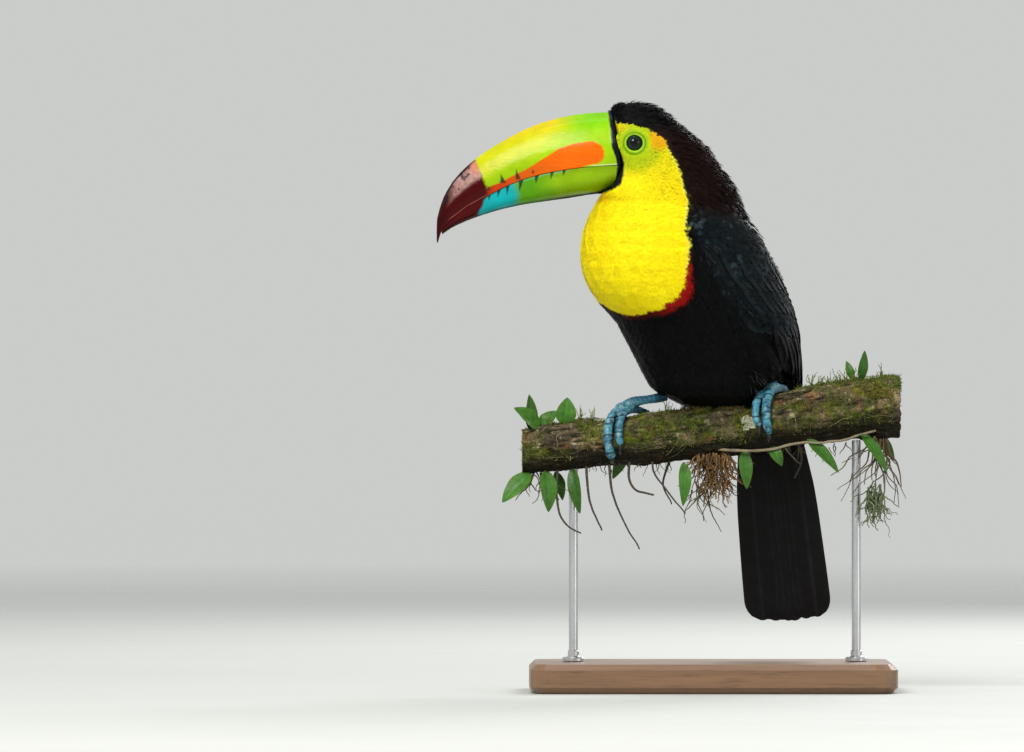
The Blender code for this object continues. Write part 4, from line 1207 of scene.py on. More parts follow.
UPPERTAIL_ROWS = (    # from, down to, half its spread at the top and the bottom, how many, half widths
    (186, 150, 5.0, 8.2, 7, (2.4, 3.6, 3.8, 2.6)), (196, 163, 4.6, 7.0, 6, (2.2, 3.4, 3.6, 2.6)),
    (203, 176, 3.8, 5.8, 5, (2.0, 3.0, 3.3, 2.4)), (208, 189, 3.2, 4.6, 4, (1.8, 2.6, 3.0, 2.2)),
)
coverts = []
for row, (top, low, narrow, wide, number, half) in enumerate(UPPERTAIL_ROWS):
    for k in range(number):
        x = k / (number - 1) * 2 - 1
        lift = 0.12 * ((k * 3) % number) + 0.40 * row
        heights = (top - 2.5 * x * x, low + 3.5 * x * x + 3.0 * rng.random())
        white = WHITE_FEATHER * rng.uniform(0.72, 0.82)
        coverts.append(covert(heights, (narrow * x, wide * x), half, (lift - 1.9, lift + 0.6), white))
put_vanes("uppertail_coverts", coverts)

TAIL_ROOT, TAIL_TIP = np.array((42, 39.5, 190.0)), np.array((57.5, 53, 47.5))
TAIL_TURN = math.radians(22)
TAIL_WORN = (0, 1.1, 0.3, 0.9, 0.2, 0, 2.4, 0.5, 1.0, 0.2)    # how much shorter each feather is
down = unit(TAIL_TIP - TAIL_ROOT)
ahead = np.array((-math.sin(TAIL_TURN), -math.cos(TAIL_TURN), 0))
ahead = unit(ahead - down * (ahead @ down))
aside = np.cross(ahead, down)
s = np.linspace(0, 1, 10)
tail = []
for k, worn in enumerate(TAIL_WORN):
    u = (k / 9) * 2 - 1
    rounded = (u * 0.62) ** 2
    length = np.linalg.norm(TAIL_TIP - TAIL_ROOT) - 5.0 * rounded - worn
    spread = np.interp(s, (0, 0.35, 1), (13, 18.5, 20.4))
    step = 0.42 * (abs(u) * 4.5 - 0.5) + 3.5 * rounded    # the outer feathers lie lower
    line = TAIL_ROOT + down * (length * s)[:, None] + aside * (spread * u)[:, None] + ahead * step
    line = line + ahead * (1.1 * np.sin(s * 3) * 0.4)[:, None]
    tail.append(long_vane(
        line, (9, 10.5, 11.8, 12.4, 12.4), [unit(aside + ahead * (0.16 * u))] * 2, [ahead] * 2, BLACK * 1.2,
        rows=44, columns=13, bow=0.03,
    ))
put_vanes("tail_feathers", tail, ["tail"])

# --- Eyes ---
EYE = tinted_look(
    "eye", 0.10, 900, (0.05, 0.09), 0.02, 900, 0.00005,
    Coat_Weight=0.12, Coat_Roughness=0.02, Specular_IOR_Level=0.2,
)
PUPIL, IRIS_EDGE = np.array((0.0006, 0.0008, 0.0010)), np.array((0.001, 0.003, 0.002))
IRIS_DARK, IRIS_GREEN = np.array((0.001, 0.010, 0.005)), np.array((0.004, 0.022, 0.013))
# Red, green and blue outwards from the eyeball, by distance from the eye's middle
LID_TONES = (
    ((5.5, 0.004), (5.85, 0.42), (6.4, 0.24), (7.1, 0.20), (7.7, 0.10), (8.2, 0.30)),
    ((5.5, 0.010), (5.85, 0.62), (6.4, 0.46), (7.1, 0.42), (7.7, 0.20), (8.2, 0.44)),
    ((5.5, 0.002), (5.85, 0.05), (6.4, 0.006), (7.1, 0.003), (7.7, 0.002), (8.2, 0.003)),
)
# The rim of the lids and the bare skin round it, out to where the feathers start: distance from the eye's
# middle, height above the middle, and how far it follows the head's surface instead
LIDS = (
    (5.1, 3.9, 0), (5.5, 4.6, 0), (5.85, 5.0, 0), (6.4, 5.2, 0), (7.1, 5.1, 0), (7.7, 4.8, 0.3),
    (8.2, 0.05, 1), (9.0, 0.1, 1), (9.9, 0.0, 1), (10.8, -0.1, 1), (11.8, -0.5, 1), (13.0, -1.6, 1),
)


def eyeball(side, out, across, rings=40, sides=64):
    """A ball drawn in a little all round but for its front, with a pupil and a streaked iris."""
    polar, turn = np.linspace(0, math.pi, rings + 1), circle(sides)
    reach = EYE_RADIUS - 0.25 + 0.25 * np.exp(-((polar / 0.5) ** 4))
    wide = (np.sin(polar) * reach)[:, None, None]
    grid = (
        out * (np.cos(polar) * reach)[:, None, None] + across * wide * np.cos(turn)[None, :, None]
        + UP * wide * np.sin(turn)[None, :, None]
    )
    around = np.repeat(polar, sides)
    circles = np.stack([np.tile(np.cos(turn), rings + 1), np.tile(np.sin(turn), rings + 1), around * 0], 1)
    colour = painted(
        PUPIL,
        (mix(IRIS_DARK, IRIS_GREEN, 0.5 + 0.5 * rough(circles, 0.12, 31)), ramp(around, 0.40, 0.46)),
        (IRIS_EDGE, ramp(around, 0.80, 0.95)),
    )
    faces = ring_faces(rings + 1, sides)[:, (0, 3, 2, 1)]
    points = (EYES[side] + grid).reshape(-1, 3) * MM
    piece(f"eyeball_{side}", points, faces, EYE, "eye", [f"eye_{side}"], tint=colour)


def eyelids(side, out, across, sides=96):
    lid, colours, levels = [], [], np.full(sides, 3.0)
    for row, (reach, height, follow) in enumerate(LIDS):
        for j, turn in enumerate(circle(sides)):
            flat = EYES[side] + across * math.cos(turn) * reach * 1.02 + UP * math.sin(turn) * reach * 0.98
            rim = MOUTH[0] - by(RIM_BACK, flat[2] - MOUTH[2])
            flat[0] = max(flat[0], rim + 1.0 - 0.06 * row)
            spot, _ = hit(hull, flat + out * 40, -out)
            if spot is not None:
                levels[j] = (spot - EYES[side]) @ out
            tall = height if not follow else follow * (levels[j] + height) + (1 - follow) * height
            if follow == 0.3:
                tall = max(tall, 4.4)
            bumps = 0.05 * math.sin(turn * 26 + row) * (0.6 if 5.7 < reach < 8 else 0.2) * (reach > 5.7)
            lid.append(flat + out * (tall + bumps))
            tone = np.array([np.interp(reach, *zip(*steps)) for steps in LID_TONES])
            if reach > 8.5:
                tone = mix(tone, plumage_colour(flat[None] * MM)[0], ramp(reach, 8.5, 10.5))
            colours.append(tone)
    lid = np.array(lid) * MM
    colours = np.array(colours) * (1 + 0.12 * rough(lid, 0.0012, 33))[:, None]
    faces = ring_faces(len(LIDS), sides)
    if side == "right":
        faces = faces[:, ::-1]
    piece(f"eyelids_{side}", lid, faces, BARE_SKIN, "plumage_yellow", tint=colours.clip(0, 1))


for side, out in (("left", ASIDE), ("right", -ASIDE)):
    across = np.cross(UP, out)
    eyeball(side, out, across)
    eyelids(side, out, across)

# --- Legs and claws ---
PERCH_AXIS = np.array([    # X, how far the branch reaches to either side, and its middle's height
    (-133, 166.8), (-78, 173.2), (-36, 177.0), (0, 181.2), (40, 187.3), (75, 193.8), (104, 197.4),
    (131, 198.5),
])


def perch_place(points):
    """x along the perch, the angle round it from its top towards -Y, and the distance from its axis."""
    p = points / MM
    z = by(PERCH_AXIS, p[:, 0])
    return p[:, 0], np.degrees(np.arctan2(-p[:, 1], p[:, 2] - z)), np.hypot(p[:, 1], p[:, 2] - z)


TOE_BLUE = np.array((0.006, 0.080, 0.145))
PALE_SCALE = np.array((0.070, 0.270, 0.360))
DEEP_BLUE = np.array((0.002, 0.022, 0.055))
DARK_JOINT = np.array((0.001, 0.005, 0.010))
HORN_GREY = np.array((0.22, 0.36, 0.36))
MOSSY_SHADE = np.array((0.006, 0.035, 0.012))
SHANKS = {"left": unit(np.array((0.42, 0.25, 0.87))), "right": unit(np.array((0.93, 0.08, 0.36)))}
TOE_BEND = 21.5    # how far a toe's back lies from the perch's axis
TOE_PART = 12.6    # the length of one long and one short joint
# Where a front foot's two toes meet: heights, and the place along X there
TOE_SPLIT = {"left": ((175, 190), (35.5, 34.5)), "right": ((168, 176), (-67.5, -71.5))}
# Height, how far the right foot's outer and inner toes are drawn in towards the foot
TOE_SHIFT = np.array([
    (158, 0, 0), (162, 0, 0), (165, 0.7, 0), (170, 2.4, 0), (180, 4.0, 1.0), (193, 3.6, 1.8), (198, 1.4, 1.2),
    (203, 0, 0),
], float)


def inner_toe(points, side):
    """0 on one of a foot's two front toes and 1 on the other, which has the larger X."""
    p = points / MM
    return ramp(p[:, 0] - np.interp(p[:, 2], *TOE_SPLIT[side]), -1.2, 1.2)


def pose_foot(points, side):
    """The right foot's toes drawn together and its shank lowered."""
    if side == "left":
        return points
    p = points / MM
    _, _, reach = perch_place(points)
    inner = inner_toe(points, side)
    outer_by, inner_by = (np.interp(p[:, 2], TOE_SHIFT[:, 0], TOE_SHIFT[:, k]) for k in (1, 2))
    shank = ramp(reach, 23.5, 28) * ramp(p[:, 0], -62, -38)
    along = (outer_by * (1 - inner) + inner_by * inner) * ramp(-p[:, 1], -4, 4) * (p[:, 0] < -55)
    hind = 5.5 * ramp(p[:, 1], 3, 9) * ramp(-p[:, 0], 66, 74) * ramp(p[:, 2], 176, 188)
    return (p + np.stack([along + hind, 0 * reach, -2.8 * shank], 1)) * MM


def foot(side):
    """Scales and creases on a foot: joints along the toes, shields up the shank and cracks over the pad."""
    points, normals, faces = remeshed([f"leg_{side}"], 0.5 * MM, 0.0, 5)
    _, turn, reach = perch_place(points)
    out_of_perch = normals[:, 2] * np.cos(np.radians(turn)) - normals[:, 1] * np.sin(np.radians(turn))
    back = ramp(out_of_perch, -0.2, 0.3)
    toe = ramp(np.abs(turn), 16, 26)
    shank = (1 - toe) * ramp(reach, 26, 30)
    pad = (1 - toe) * (1 - ramp(reach, 26, 30))
    # each toe's long and short joints in turn, with a deep crease and a shallow one between them
    s = np.abs(turn) * 0.0175 * TOE_BEND + 0.35 * rough(points, 0.0035, 43)
    s += 9.2 + 1.5 * inner_toe(points, side)
    along = s % TOE_PART
    deep = 1 - ramp(np.minimum(along, TOE_PART - along), 0.18, 0.62)
    shallow = 0.6 * (1 - ramp(np.abs(along - 4.1), 0.12, 0.45))
    fine = np.abs((s / 1.55) % 1.0 - 0.5) * 2
    crease = np.maximum(deep, shallow) * toe * back
    crease = np.maximum(crease, 0.28 * ramp(fine, 0.80, 1.0) * toe * back)
    swell = 1 - ramp(np.abs(along - 2.0), 0.6, 2.4)
    swell = np.maximum(swell, 0.5 * (1 - ramp(np.abs(along - 11.4), 0.4, 1.6)))
    # the shank's shields, and small cracked scales on the pad
    plates = (points @ SHANKS[side] / (3.3 * MM) + 0.25 * rough(points, 0.004, 46)) % 1.0
    seam = (1 - ramp(np.minimum(plates, 1 - plates), 0.02, 0.14)) * shank
    cracks = 1 - ramp(np.abs(rough(points, 0.0013, 47)), 0.02, 0.26)
    pebbles = rough(points, 0.0011, 41)
    lift = 0.24 * (1 - crease) * toe * back + 0.16 * swell * toe + 0.15 * (1 - seam) * shank + 0.05 * pebbles
    lift -= 0.10 * cracks * pad
    pad_grey = HORN_GREY if side == "left" else HORN_GREY * (0.6, 0.85, 0.95)
    colour = painted(
        TOE_BLUE,
        (PALE_SCALE, (0.5 + 0.5 * rough(points, 0.0045, 42) + 0.2 * pebbles).clip(0, 1)),
        # painted highlight on the swollen joints where they face out of the perch
        (PALE_SCALE * (1.5, 1.15, 1.1), 0.6 * swell * toe * ramp(out_of_perch, 0.4, 0.9)),
        (DEEP_BLUE, 0.75 * ramp(rough(points, 0.0030, 44), 0.0, 0.6) * (0.4 + 0.6 * toe)),
        (HORN_GREY, 0.6 * ramp(rough(points, 0.0016, 45), 0.25, 0.7)),
        (pad_grey, (0.75 * pad * (0.6 + 0.4 * pebbles)).clip(0, 1)),
        (DEEP_BLUE * (0.5, 0.9, 0.75), 0.75 * cracks * pad),
        (mix(DEEP_BLUE, TOE_BLUE, 0.5 + 0.5 * rough(points, 0.003, 48)), 0.85 * shank),
        # painted highlight: the shank's seams lighter where they face up
        (PALE_SCALE * 0.75, 0.7 * seam * ramp(normals[:, 2], -0.5, 0.3)),
        (DARK_JOINT, (0.92 * crease).clip(0, 1)),
        # painted shade on the toes' sides that face the perch
        (DEEP_BLUE * 0.5, 0.7 * (1 - back) * toe),
        (MOSSY_SHADE, 0.6 * shank * ramp(-normals[:, 2], -0.1, 0.6)),
    )
    points = pose_foot(points + normals * (lift * MM)[:, None], side)
    piece(f"foot_skin_{side}", points, faces, SCALES, "foot", [f"leg_{side}"], tint=colour.clip(0, 1))


for side in ("left", "right"):
    foot(side)
for name in sorted(NODES):
    if name.startswith("claw_"):
        points, normals, faces = refined(name, 2, sharp=70)
        piece("nail_" + name[5:], points, faces, CLAW, "claw", [name])

# --- The perch ---
BARK = tinted_look("bark", 0.55, 480, (0.75, 0.95), 0.8, 900, 0.0014, Specular_IOR_Level=0.12)
MOSS = tinted_look(
    "moss", 0.25, 700, (0.6, 0.85), 0.2, 2000, 0.0002, Subsurface_Weight=0.05, Subsurface_Scale=0.002
)
LEAF = tinted_look("leaf", 0.22, 260, (0.34, 0.5), 0.35, 700, 0.0004, Specular_IOR_Level=0.25)
ROOT = tinted_look("root", 0.25, 800, (0.6, 0.85), 0.5, 1800, 0.0003)
LICHEN = tinted_look("lichen", 0.14, 900, (0.75, 0.95), 0.6, 1500, 0.0004)
BROWN_BARK = np.array((0.092, 0.060, 0.028))
GREY_BARK = np.array((0.085, 0.074, 0.046))
PALE_BARK = np.array((0.25, 0.175, 0.105))
BARK_SHADE = np.array((0.012, 0.011, 0.005))
RUSTY_BARK = np.array((0.22, 0.085, 0.030))
SPECKS = np.array((0.36, 0.33, 0.20))
CUT_LIGHT, CUT_DARK = np.array((0.50, 0.36, 0.19)), np.array((0.34, 0.22, 0.10))
MOSS_GREEN = np.array((0.044, 0.066, 0.006))
BRIGHT_MOSS = np.array((0.170, 0.215, 0.012))
DRY_MOSS = np.array((0.25, 0.13, 0.03))
LICHEN_PALE = np.array((0.36, 0.38, 0.26))
FEET_AT = (-66, 41)    # the places of the feet along X
BARK_RADIUS = 19


def moss_amount(points):
    x, turn, _ = perch_place(points)
    cover = 0.5 + 0.5 * rough(points, 0.022, 51) + 0.35 * rough(points, 0.007, 52)
    sunny = ramp(np.cos(np.radians(turn - 25)), -0.55, 0.7)
    return (ramp(cover, 0.22, 0.8) * sunny * (0.8 + 0.2 * ramp(x, -60, 0))).clip(0, 1)


def toe_free(points):
    """0 beside the feet, 1 away from them, so that the bark stays smooth under the toes."""
    x = points[:, 0] / MM
    return ramp(np.minimum(np.abs(x - FEET_AT[0]), np.abs(x - FEET_AT[1])), 10, 22)


def perch_bark():
    """The branch with furrows, flakes and year rings on its cut ends, and how densely moss grows on it."""
    points, normals, faces = refined("perch", 3, longest=7 * MM, sharp=60)
    x, turn, reach = perch_place(points)
    angle = np.radians(turn)
    flat = (x * 0.30 + 3 * rough(points, 0.03, 61), BARK_RADIUS * np.sin(angle), BARK_RADIUS * np.cos(angle))
    flat = np.stack(flat, 1) * MM
    furrows = rough(flat, 0.0022, 62) + 0.6 * rough(flat, 0.0011, 63)
    flakes = ramp(rough(flat, 0.0052, 72), 0.05, 0.25)
    lumps = rough(points, 0.011, 64)
    end = ramp(np.abs(normals[:, 0]), 0.75, 0.92) * (np.abs(x) > 118) * ramp(-reach, -17.2, -15.6)
    flank = 1 - end
    away = toe_free(points)
    free = 0.25 + 0.75 * away
    moss = moss_amount(points) * flank
    lift = ((0.85 * furrows + 0.6 * flakes + 0.35 * moss) * free + 1.1 * lumps * away - 0.5) * flank
    from_middle = np.hypot(points[:, 1] / MM * 1.02, points[:, 2] / MM - by(PERCH_AXIS, x))
    rings = np.sin(from_middle * 4.2 + 0.8 * rough(points, 0.006, 65))
    lift += end * 0.08 * rings
    pale_end = 0.35 * ramp(x, 46, 92)
    pale = rough(points, 0.016, 67) + 0.4 * rough(points, 0.004, 68) + pale_end
    colour = painted(
        BROWN_BARK,
        (GREY_BARK, 0.5 + 0.5 * rough(points, 0.012, 66)),
        (PALE_BARK, 0.8 * ramp(pale, 0.25, 0.7)),
        (RUSTY_BARK, 0.55 * ramp(rough(points, 0.0075, 75) + 0.5 * pale_end, 0.25, 0.7)),
        (SPECKS, 0.7 * ramp(rough(points, 0.0024, 76), 0.45, 0.8)),
        # painted shade down in the furrows
        (BARK_SHADE, (0.9 * ramp(-furrows, -0.1, 0.6)).clip(0, 1)),
    )
    green = mix(MOSS_GREEN * 0.7, BRIGHT_MOSS, (0.5 + 0.6 * rough(points, 0.003, 69)).clip(0, 1))
    colour = painted(
        colour * (0.7 + 0.5 * flakes)[:, None],
        (green, 0.8 * moss * ramp(rough(points, 0.0045, 77), -0.6, 0.2)),
        # painted shade on the branch's underside
        (BARK_SHADE * 0.6, 0.9 * ramp(-np.cos(angle), -0.05, 0.6) * flank),
        (mix(CUT_LIGHT, CUT_DARK, 0.5 + 0.5 * rings), end),
    )
    points = points + normals * (lift * MM)[:, None]
    piece("branch", points, faces, BARK, "bark", ["perch"], tint=colour.clip(0, 1))
    return points, normals, faces, np.maximum(moss - 0.12, 0) * (0.35 + 0.65 * away)


branch, branch_normals, faces, density = perch_bark()
branch_tree = tree_of(branch, faces)

# moss: short curved blades
BLADES = 18000
pick = rng.choice(len(branch), BLADES, p=density / density.sum())
root, facing = branch[pick], branch_normals[pick]
lean = unit(facing + 0.75 * rng.standard_normal((BLADES, 3)) + 0.35 * UP)
side = unit(np.cross(lean, rng.standard_normal((BLADES, 3))))
clump = ramp(rough(root, 0.009, 73), 0.0, 0.6)
tall = (0.8 + (1.6 + 2.0 * clump) * rng.random(BLADES) ** 2) * MM * (0.45 + 0.55 * toe_free(root))
wide = side * ((0.16 + 0.16 * rng.random(BLADES)) * MM)[:, None]
bow = unit(rng.standard_normal((BLADES, 3))) * (0.35 * tall)[:, None]
low, waist, top = root - facing * 0.3 * MM, root + lean * (0.55 * tall)[:, None], root + lean * tall[:, None]
blade = np.stack([low - wide, low + wide, waist + wide * 0.8, waist - wide * 0.8, top + bow], 1)
blade_faces = np.array([(0, 1, 2), (0, 2, 3), (3, 2, 4)])
faces = (blade_faces + np.arange(BLADES)[:, None, None] * 5).reshape(-1, 3)
tone = mix(MOSS_GREEN, BRIGHT_MOSS, rng.random(BLADES) * 0.9)
tone = mix(tone, DRY_MOSS, 0.6 * ramp(rough(root, 0.012, 71), 0.2, 0.7))
# painted shade: each blade darker at its foot and lighter at its tip
shades = np.array((0.55, 0.55, 0.9, 0.9, 1.15))    # from a blade's foot to its tip
tone = (tone[:, None] * shades[None, :, None]).reshape(-1, 3)
piece("moss", blade.reshape(-1, 3), faces, MOSS, "bark", tint=tone.clip(0, 1))


def on_perch(x, turn, lift=0.0):
    """A point on the branch, in millimetres, with the way out of it."""
    way = np.array((0, -math.sin(math.radians(turn)), math.cos(math.radians(turn))))
    centre = np.array((x, 0, by(PERCH_AXIS, x)))
    spot, _ = hit(branch_tree, centre + way * 40, -way)
    return (centre + way * 18 if spot is None else spot) + way * lift, way


LEAF_DARK, LEAF_BRIGHT = np.array((0.020, 0.080, 0.008)), np.array((0.040, 0.115, 0.010))


def leaf(base, tip, wide, face_to, bow, tone):
    """A leaf with a folded midrib, from its base to its tip, in millimetres."""
    base, tip, face_to = (np.asarray(v, float) for v in (base, tip, face_to))
    rows, columns, thick = 15, 9, 0.28
    s, u = np.linspace(0, 1, rows)[:, None], np.linspace(-1, 1, columns)[None]
    way = unit(tip - base)
    side = unit(np.cross(way, face_to))
    up = np.cross(side, way)
    half = wide / 2 * (np.sin(math.pi * s**0.8) ** 0.75 * (1 - 0.15 * s) + 0.03)
    spine = base + (tip - base) * s + up * (bow * np.sin(math.pi * s)) + side * (0.5 * bow * s**2)
    layers = []
    for sign in (1, -1):
        height = (0.22 + 0.04 * np.sin(18 * s)) * np.abs(u) * half + sign * thick / 2 * (1 - u**4)
        layers.append((spine[:, None] + side * (half * u)[..., None] + up * height[..., None]).reshape(-1, 3))
    green = mix(LEAF_DARK, LEAF_BRIGHT, ramp(np.abs(u), 0.0, 0.5) * np.ones((rows, 1)))
    midrib = 1 + 0.7 * np.exp(-((u / 0.07) ** 2))
    veins = 1 + 0.12 * (np.sin(34 * s - 5 * np.abs(u)) > 0.75)
    green = (green * (midrib * veins * tone)[..., None]).reshape(-1, 3)
    # the lower face a fifth darker: painted shade
    return np.concatenate(layers) * MM, two_sided(rows, columns), np.concatenate([green, green * 0.8])


LEAVES = (
    # base, tip, width, which way its upper face looks
    ((-103, -2, 186), (-102, -4, 205), 15, (0.1, -1, 0.1)),
    ((-121, -5, 183), (-139, -9, 197), 15, (-0.2, -0.8, 1)),
    ((-127, 2, 182), (-129, 0, 207), 10, (0.5, -1, 0.1)),
    ((-119, 5, 183), (-109, 9, 196), 12, (0, -0.7, 1)),
    ((104, -3, 217), (106, -5, 238), 7.5, (0.3, -1, 0)),
    ((99, 3, 217), (93, 6, 230), 6, (0, -1, 0.4)),
    ((-117, -8, 154), (-113, -10, 125), 13, (0.3, -1, 0.2)),
    ((-127, -6, 152), (-146, -12, 131), 14, (-0.2, -1, 0.5)),
    ((-98, -6, 156), (-91, -10, 124), 10, (-0.4, -1, 0.2)),
    ((-110, 6, 153), (-104, 9, 133), 9, (0.6, -1, 0)),
    ((-20, -10, 160), (-19, -12, 129), 9.5, (0.2, -1, 0.1)),
    ((22, -12, 168), (25, -13, 141), 10, (0.1, -1, 0.2)),
    ((40, -13, 170), (50, -14, 158), 9, (0, -1, 0.4)),
    ((66, -14, 176), (89, -17, 153), 9.5, (0.2, -1, 0.6)),
    ((104, -14, 180), (123, -17, 153), 9, (0.3, -1, 0.5)),
    ((118, 8, 178), (127, 12, 160), 8, (0, 1, 0.3)),
    ((-60, 12, 166), (-70, 20, 148), 9, (0, 1, 0.2)),
    ((-6, 13, 166), (2, 20, 146), 9, (0, 1, 0.2)),
)
parts = [leaf(*row, bow=1.2 + 2.2 * rng.random(), tone=0.75 + 0.6 * rng.random()) for row in LEAVES]
put("leaves", parts, LEAF, "bark", sharp=60)

ROOTS = (
    # marks along it, thickness at its root and at its tip
    (((-108, -6, 155), (-109, -9, 140), (-107, -11, 125), (-101, -12, 115), (-92, -12, 110)), 0.9, 0.45),
    (((-88, -8, 157), (-87, -12, 141), (-84, -14, 127), (-77, -14, 112)), 0.9, 0.5),
    (((-72, -9, 158), (-70, -13, 139), (-64, -15, 123), (-51, -15, 99)), 0.9, 0.45),
    (((-58, -10, 160), (-58, -14, 148), (-53, -15, 140), (-41, -15, 137)), 0.9, 0.6),
    (((-42, -10, 160), (-40, -13, 151), (-27, -15, 134), (-19, -14, 124)), 0.7, 0.4),
    (((-96, 4, 154), (-98, 8, 138), (-94, 12, 124)), 0.8, 0.4),
    (((-30, 8, 160), (-34, 12, 144), (-28, 14, 130)), 0.8, 0.4),
    (((60, 8, 176), (63, 14, 162), (58, 16, 148)), 0.8, 0.4),
    (
        ((-4, -12, 170), (14, -16, 168), (39, -17, 168.5), (60, -17, 173), (86, -18, 174.5), (114, -19, 182)),
        1.0, 0.7,
    ),
    (((50, -15, 172), (55, -17, 164), (62, -17, 159)), 0.7, 0.4),
)
PALE_ROOT, DARK_ROOT = np.array((0.20, 0.165, 0.10)), np.array((0.040, 0.030, 0.014))
OLD_THREAD, NEW_THREAD = np.array((0.06, 0.055, 0.018)), np.array((0.26, 0.23, 0.11))
parts = []
for marks, thick, thin in ROOTS:
    line = smooth_path(marks, 40)
    stray = np.stack([rough(line, 6.0, k) for k in (81, 82, 83)], 1)
    line = line + 0.7 * stray * np.linspace(0, 1, 40)[:, None]
    radii = np.linspace(thick, thin, 40) * (1 + 0.22 * np.abs(np.sin(np.arange(40) * 1.3)))
    points, faces = tube_arrays(line * MM, radii * MM, 7)
    base = PALE_ROOT if marks[0][2] > 168 and thick >= 1.0 else DARK_ROOT
    parts.append((points, faces, base * (1 + 0.35 * rough(points, 0.003, 84))[:, None]))
for _ in range(170):    # fine pale threads that creep over the bark
    x, turn = rng.uniform(-126, 126), rng.uniform(-75, 115)
    if abs(x + 68) < 14 or abs(x - 40) < 12:
        continue
    way_x, way_turn = rng.normal(0, 1.3), rng.normal(0, 3.5)
    marks = []
    for _ in range(rng.integers(4, 9)):
        marks.append(on_perch(x, turn, 0.15)[0])
        x, turn = float(np.clip(x + way_x, -130, 129)), turn + way_turn
        way_x, way_turn = way_x + rng.normal(0, 1.0), way_turn + rng.normal(0, 3.6)
    points, faces = tapered(marks, 16, 0.30, 0.13)
    tone = mix(OLD_THREAD, NEW_THREAD, rng.random() ** 1.5)
    parts.append((points, faces, np.tile(tone, (len(points), 1))))
put("rootlets", parts, ROOT, "bark")


def strands(centre, spread, fall, count, thick, tones, seed, curl=3.0):
    """Hanging wisps of root, moss and lichen from one place under the branch."""
    local = np.random.default_rng(seed)
    parts = []
    for _ in range(count):
        start = np.asarray(centre) + np.array(spread) * local.uniform(-1, 1, 3)
        reach = fall * local.uniform(0.45, 1.0)
        marks = [start]
        way = np.array((local.uniform(-0.3, 0.3), local.uniform(-0.2, 0.2), -1.0))
        for _ in range(4):
            way = unit(way + local.normal(0, 0.42, 3) * (1, 0.6, 0.5))
            marks.append(marks[-1] + way * reach / 4)
        curls = curl * 0.2 * local.normal(0, 0.35, (14, 3))
        line = smooth_path(marks, 14) + curls * np.linspace(0, 1, 14)[:, None]
        line[:, 0] -= 0.65 * (line[:, 0] - 129).clip(0)    # drawn in beside the perch's cut end
        radii = np.linspace(thick, thick * 0.4, 14) * local.uniform(0.7, 1.3)
        points, faces = tube_arrays(line * MM, radii * MM, 5)
        tone = tones[0] + (tones[1] - tones[0]) * local.random()
        parts.append((points, faces, tone * (1 + 0.3 * rough(points, 0.002, seed))[:, None]))
    return parts


BROWN, OCHRE = np.array((0.060, 0.034, 0.012)), np.array((0.19, 0.095, 0.022))
OLIVE, KHAKI = np.array((0.06, 0.075, 0.02)), np.array((0.10, 0.09, 0.035))
GREY_GREEN = np.array((0.14, 0.18, 0.085))
parts = strands((0, -10, 165), (11, 4, 2), 24, 90, 0.7, (BROWN, OCHRE), 5, 7)
parts += strands((3, -11, 150), (8, 4, 7), 20, 60, 0.6, (BROWN, OCHRE), 16, 8)
parts += strands((-6, -11, 148), (9, 3, 8), 34, 20, 0.5, (BROWN, OLIVE), 6, 5)
parts += strands((117, -6, 177), (6, 6, 2), 60, 22, 0.75, (BROWN, KHAKI), 7, 2)
parts += strands((114, -8, 138), (6, 4, 9), 26, 60, 0.6, (GREY_GREEN * 0.6, GREY_GREEN), 8, 8)
parts += strands((-122, -3, 152), (8, 6, 2), 26, 18, 0.6, (BROWN, MOSS_GREEN), 9)
parts += strands((-40, 0, 160), (60, 8, 2), 12, 40, 0.45, (BROWN, MOSS_GREEN), 10)
parts += strands((60, 0, 172), (40, 8, 2), 12, 26, 0.45, (BROWN, MOSS_GREEN), 12)
put("hanging_moss", parts, ROOT, "bark")

SPRIGS = (    # along the perch, round it
    (-92, 6), (-84, -12), (-112, 4), (70, 0), (76, 12), (82, -8), (88, 4), (94, -4), (99, 8), (118, 0),
    (-20, 0), (-32, 16),
)
parts = []
for x, turn in SPRIGS:
    base, way = on_perch(x, turn, -0.4)
    for _ in range(7):
        top = base + unit(way + rng.normal(0, 0.35, 3)) * rng.uniform(4, 10.5)
        line = smooth_path([base + rng.normal(0, 0.8, 3), (base + top) / 2 + rng.normal(0, 0.8, 3), top], 9)
        points, faces = tube_arrays(line * MM, np.linspace(0.34, 0.16, 9) * MM, 5)
        tone = mix(MOSS_GREEN, BRIGHT_MOSS, rng.random())
        parts.append((points, faces, np.tile(tone, (len(points), 1))))
        for k in range(2, 9):    # tiny leaves along it
            tiny = line[k] + unit(rng.normal(0, 1, 3) + way * 0.6) * rng.uniform(0.8, 1.9)
            wide = unit(np.cross(tiny - line[k], rng.normal(0, 1, 3))) * 0.3
            corners = np.array([line[k] - wide, line[k] + wide, tiny]) * MM
            parts.append((corners, np.array([(0, 1, 2)]), np.tile(tone * 1.15, (3, 1))))
put("moss_sprigs", parts, MOSS, "bark")

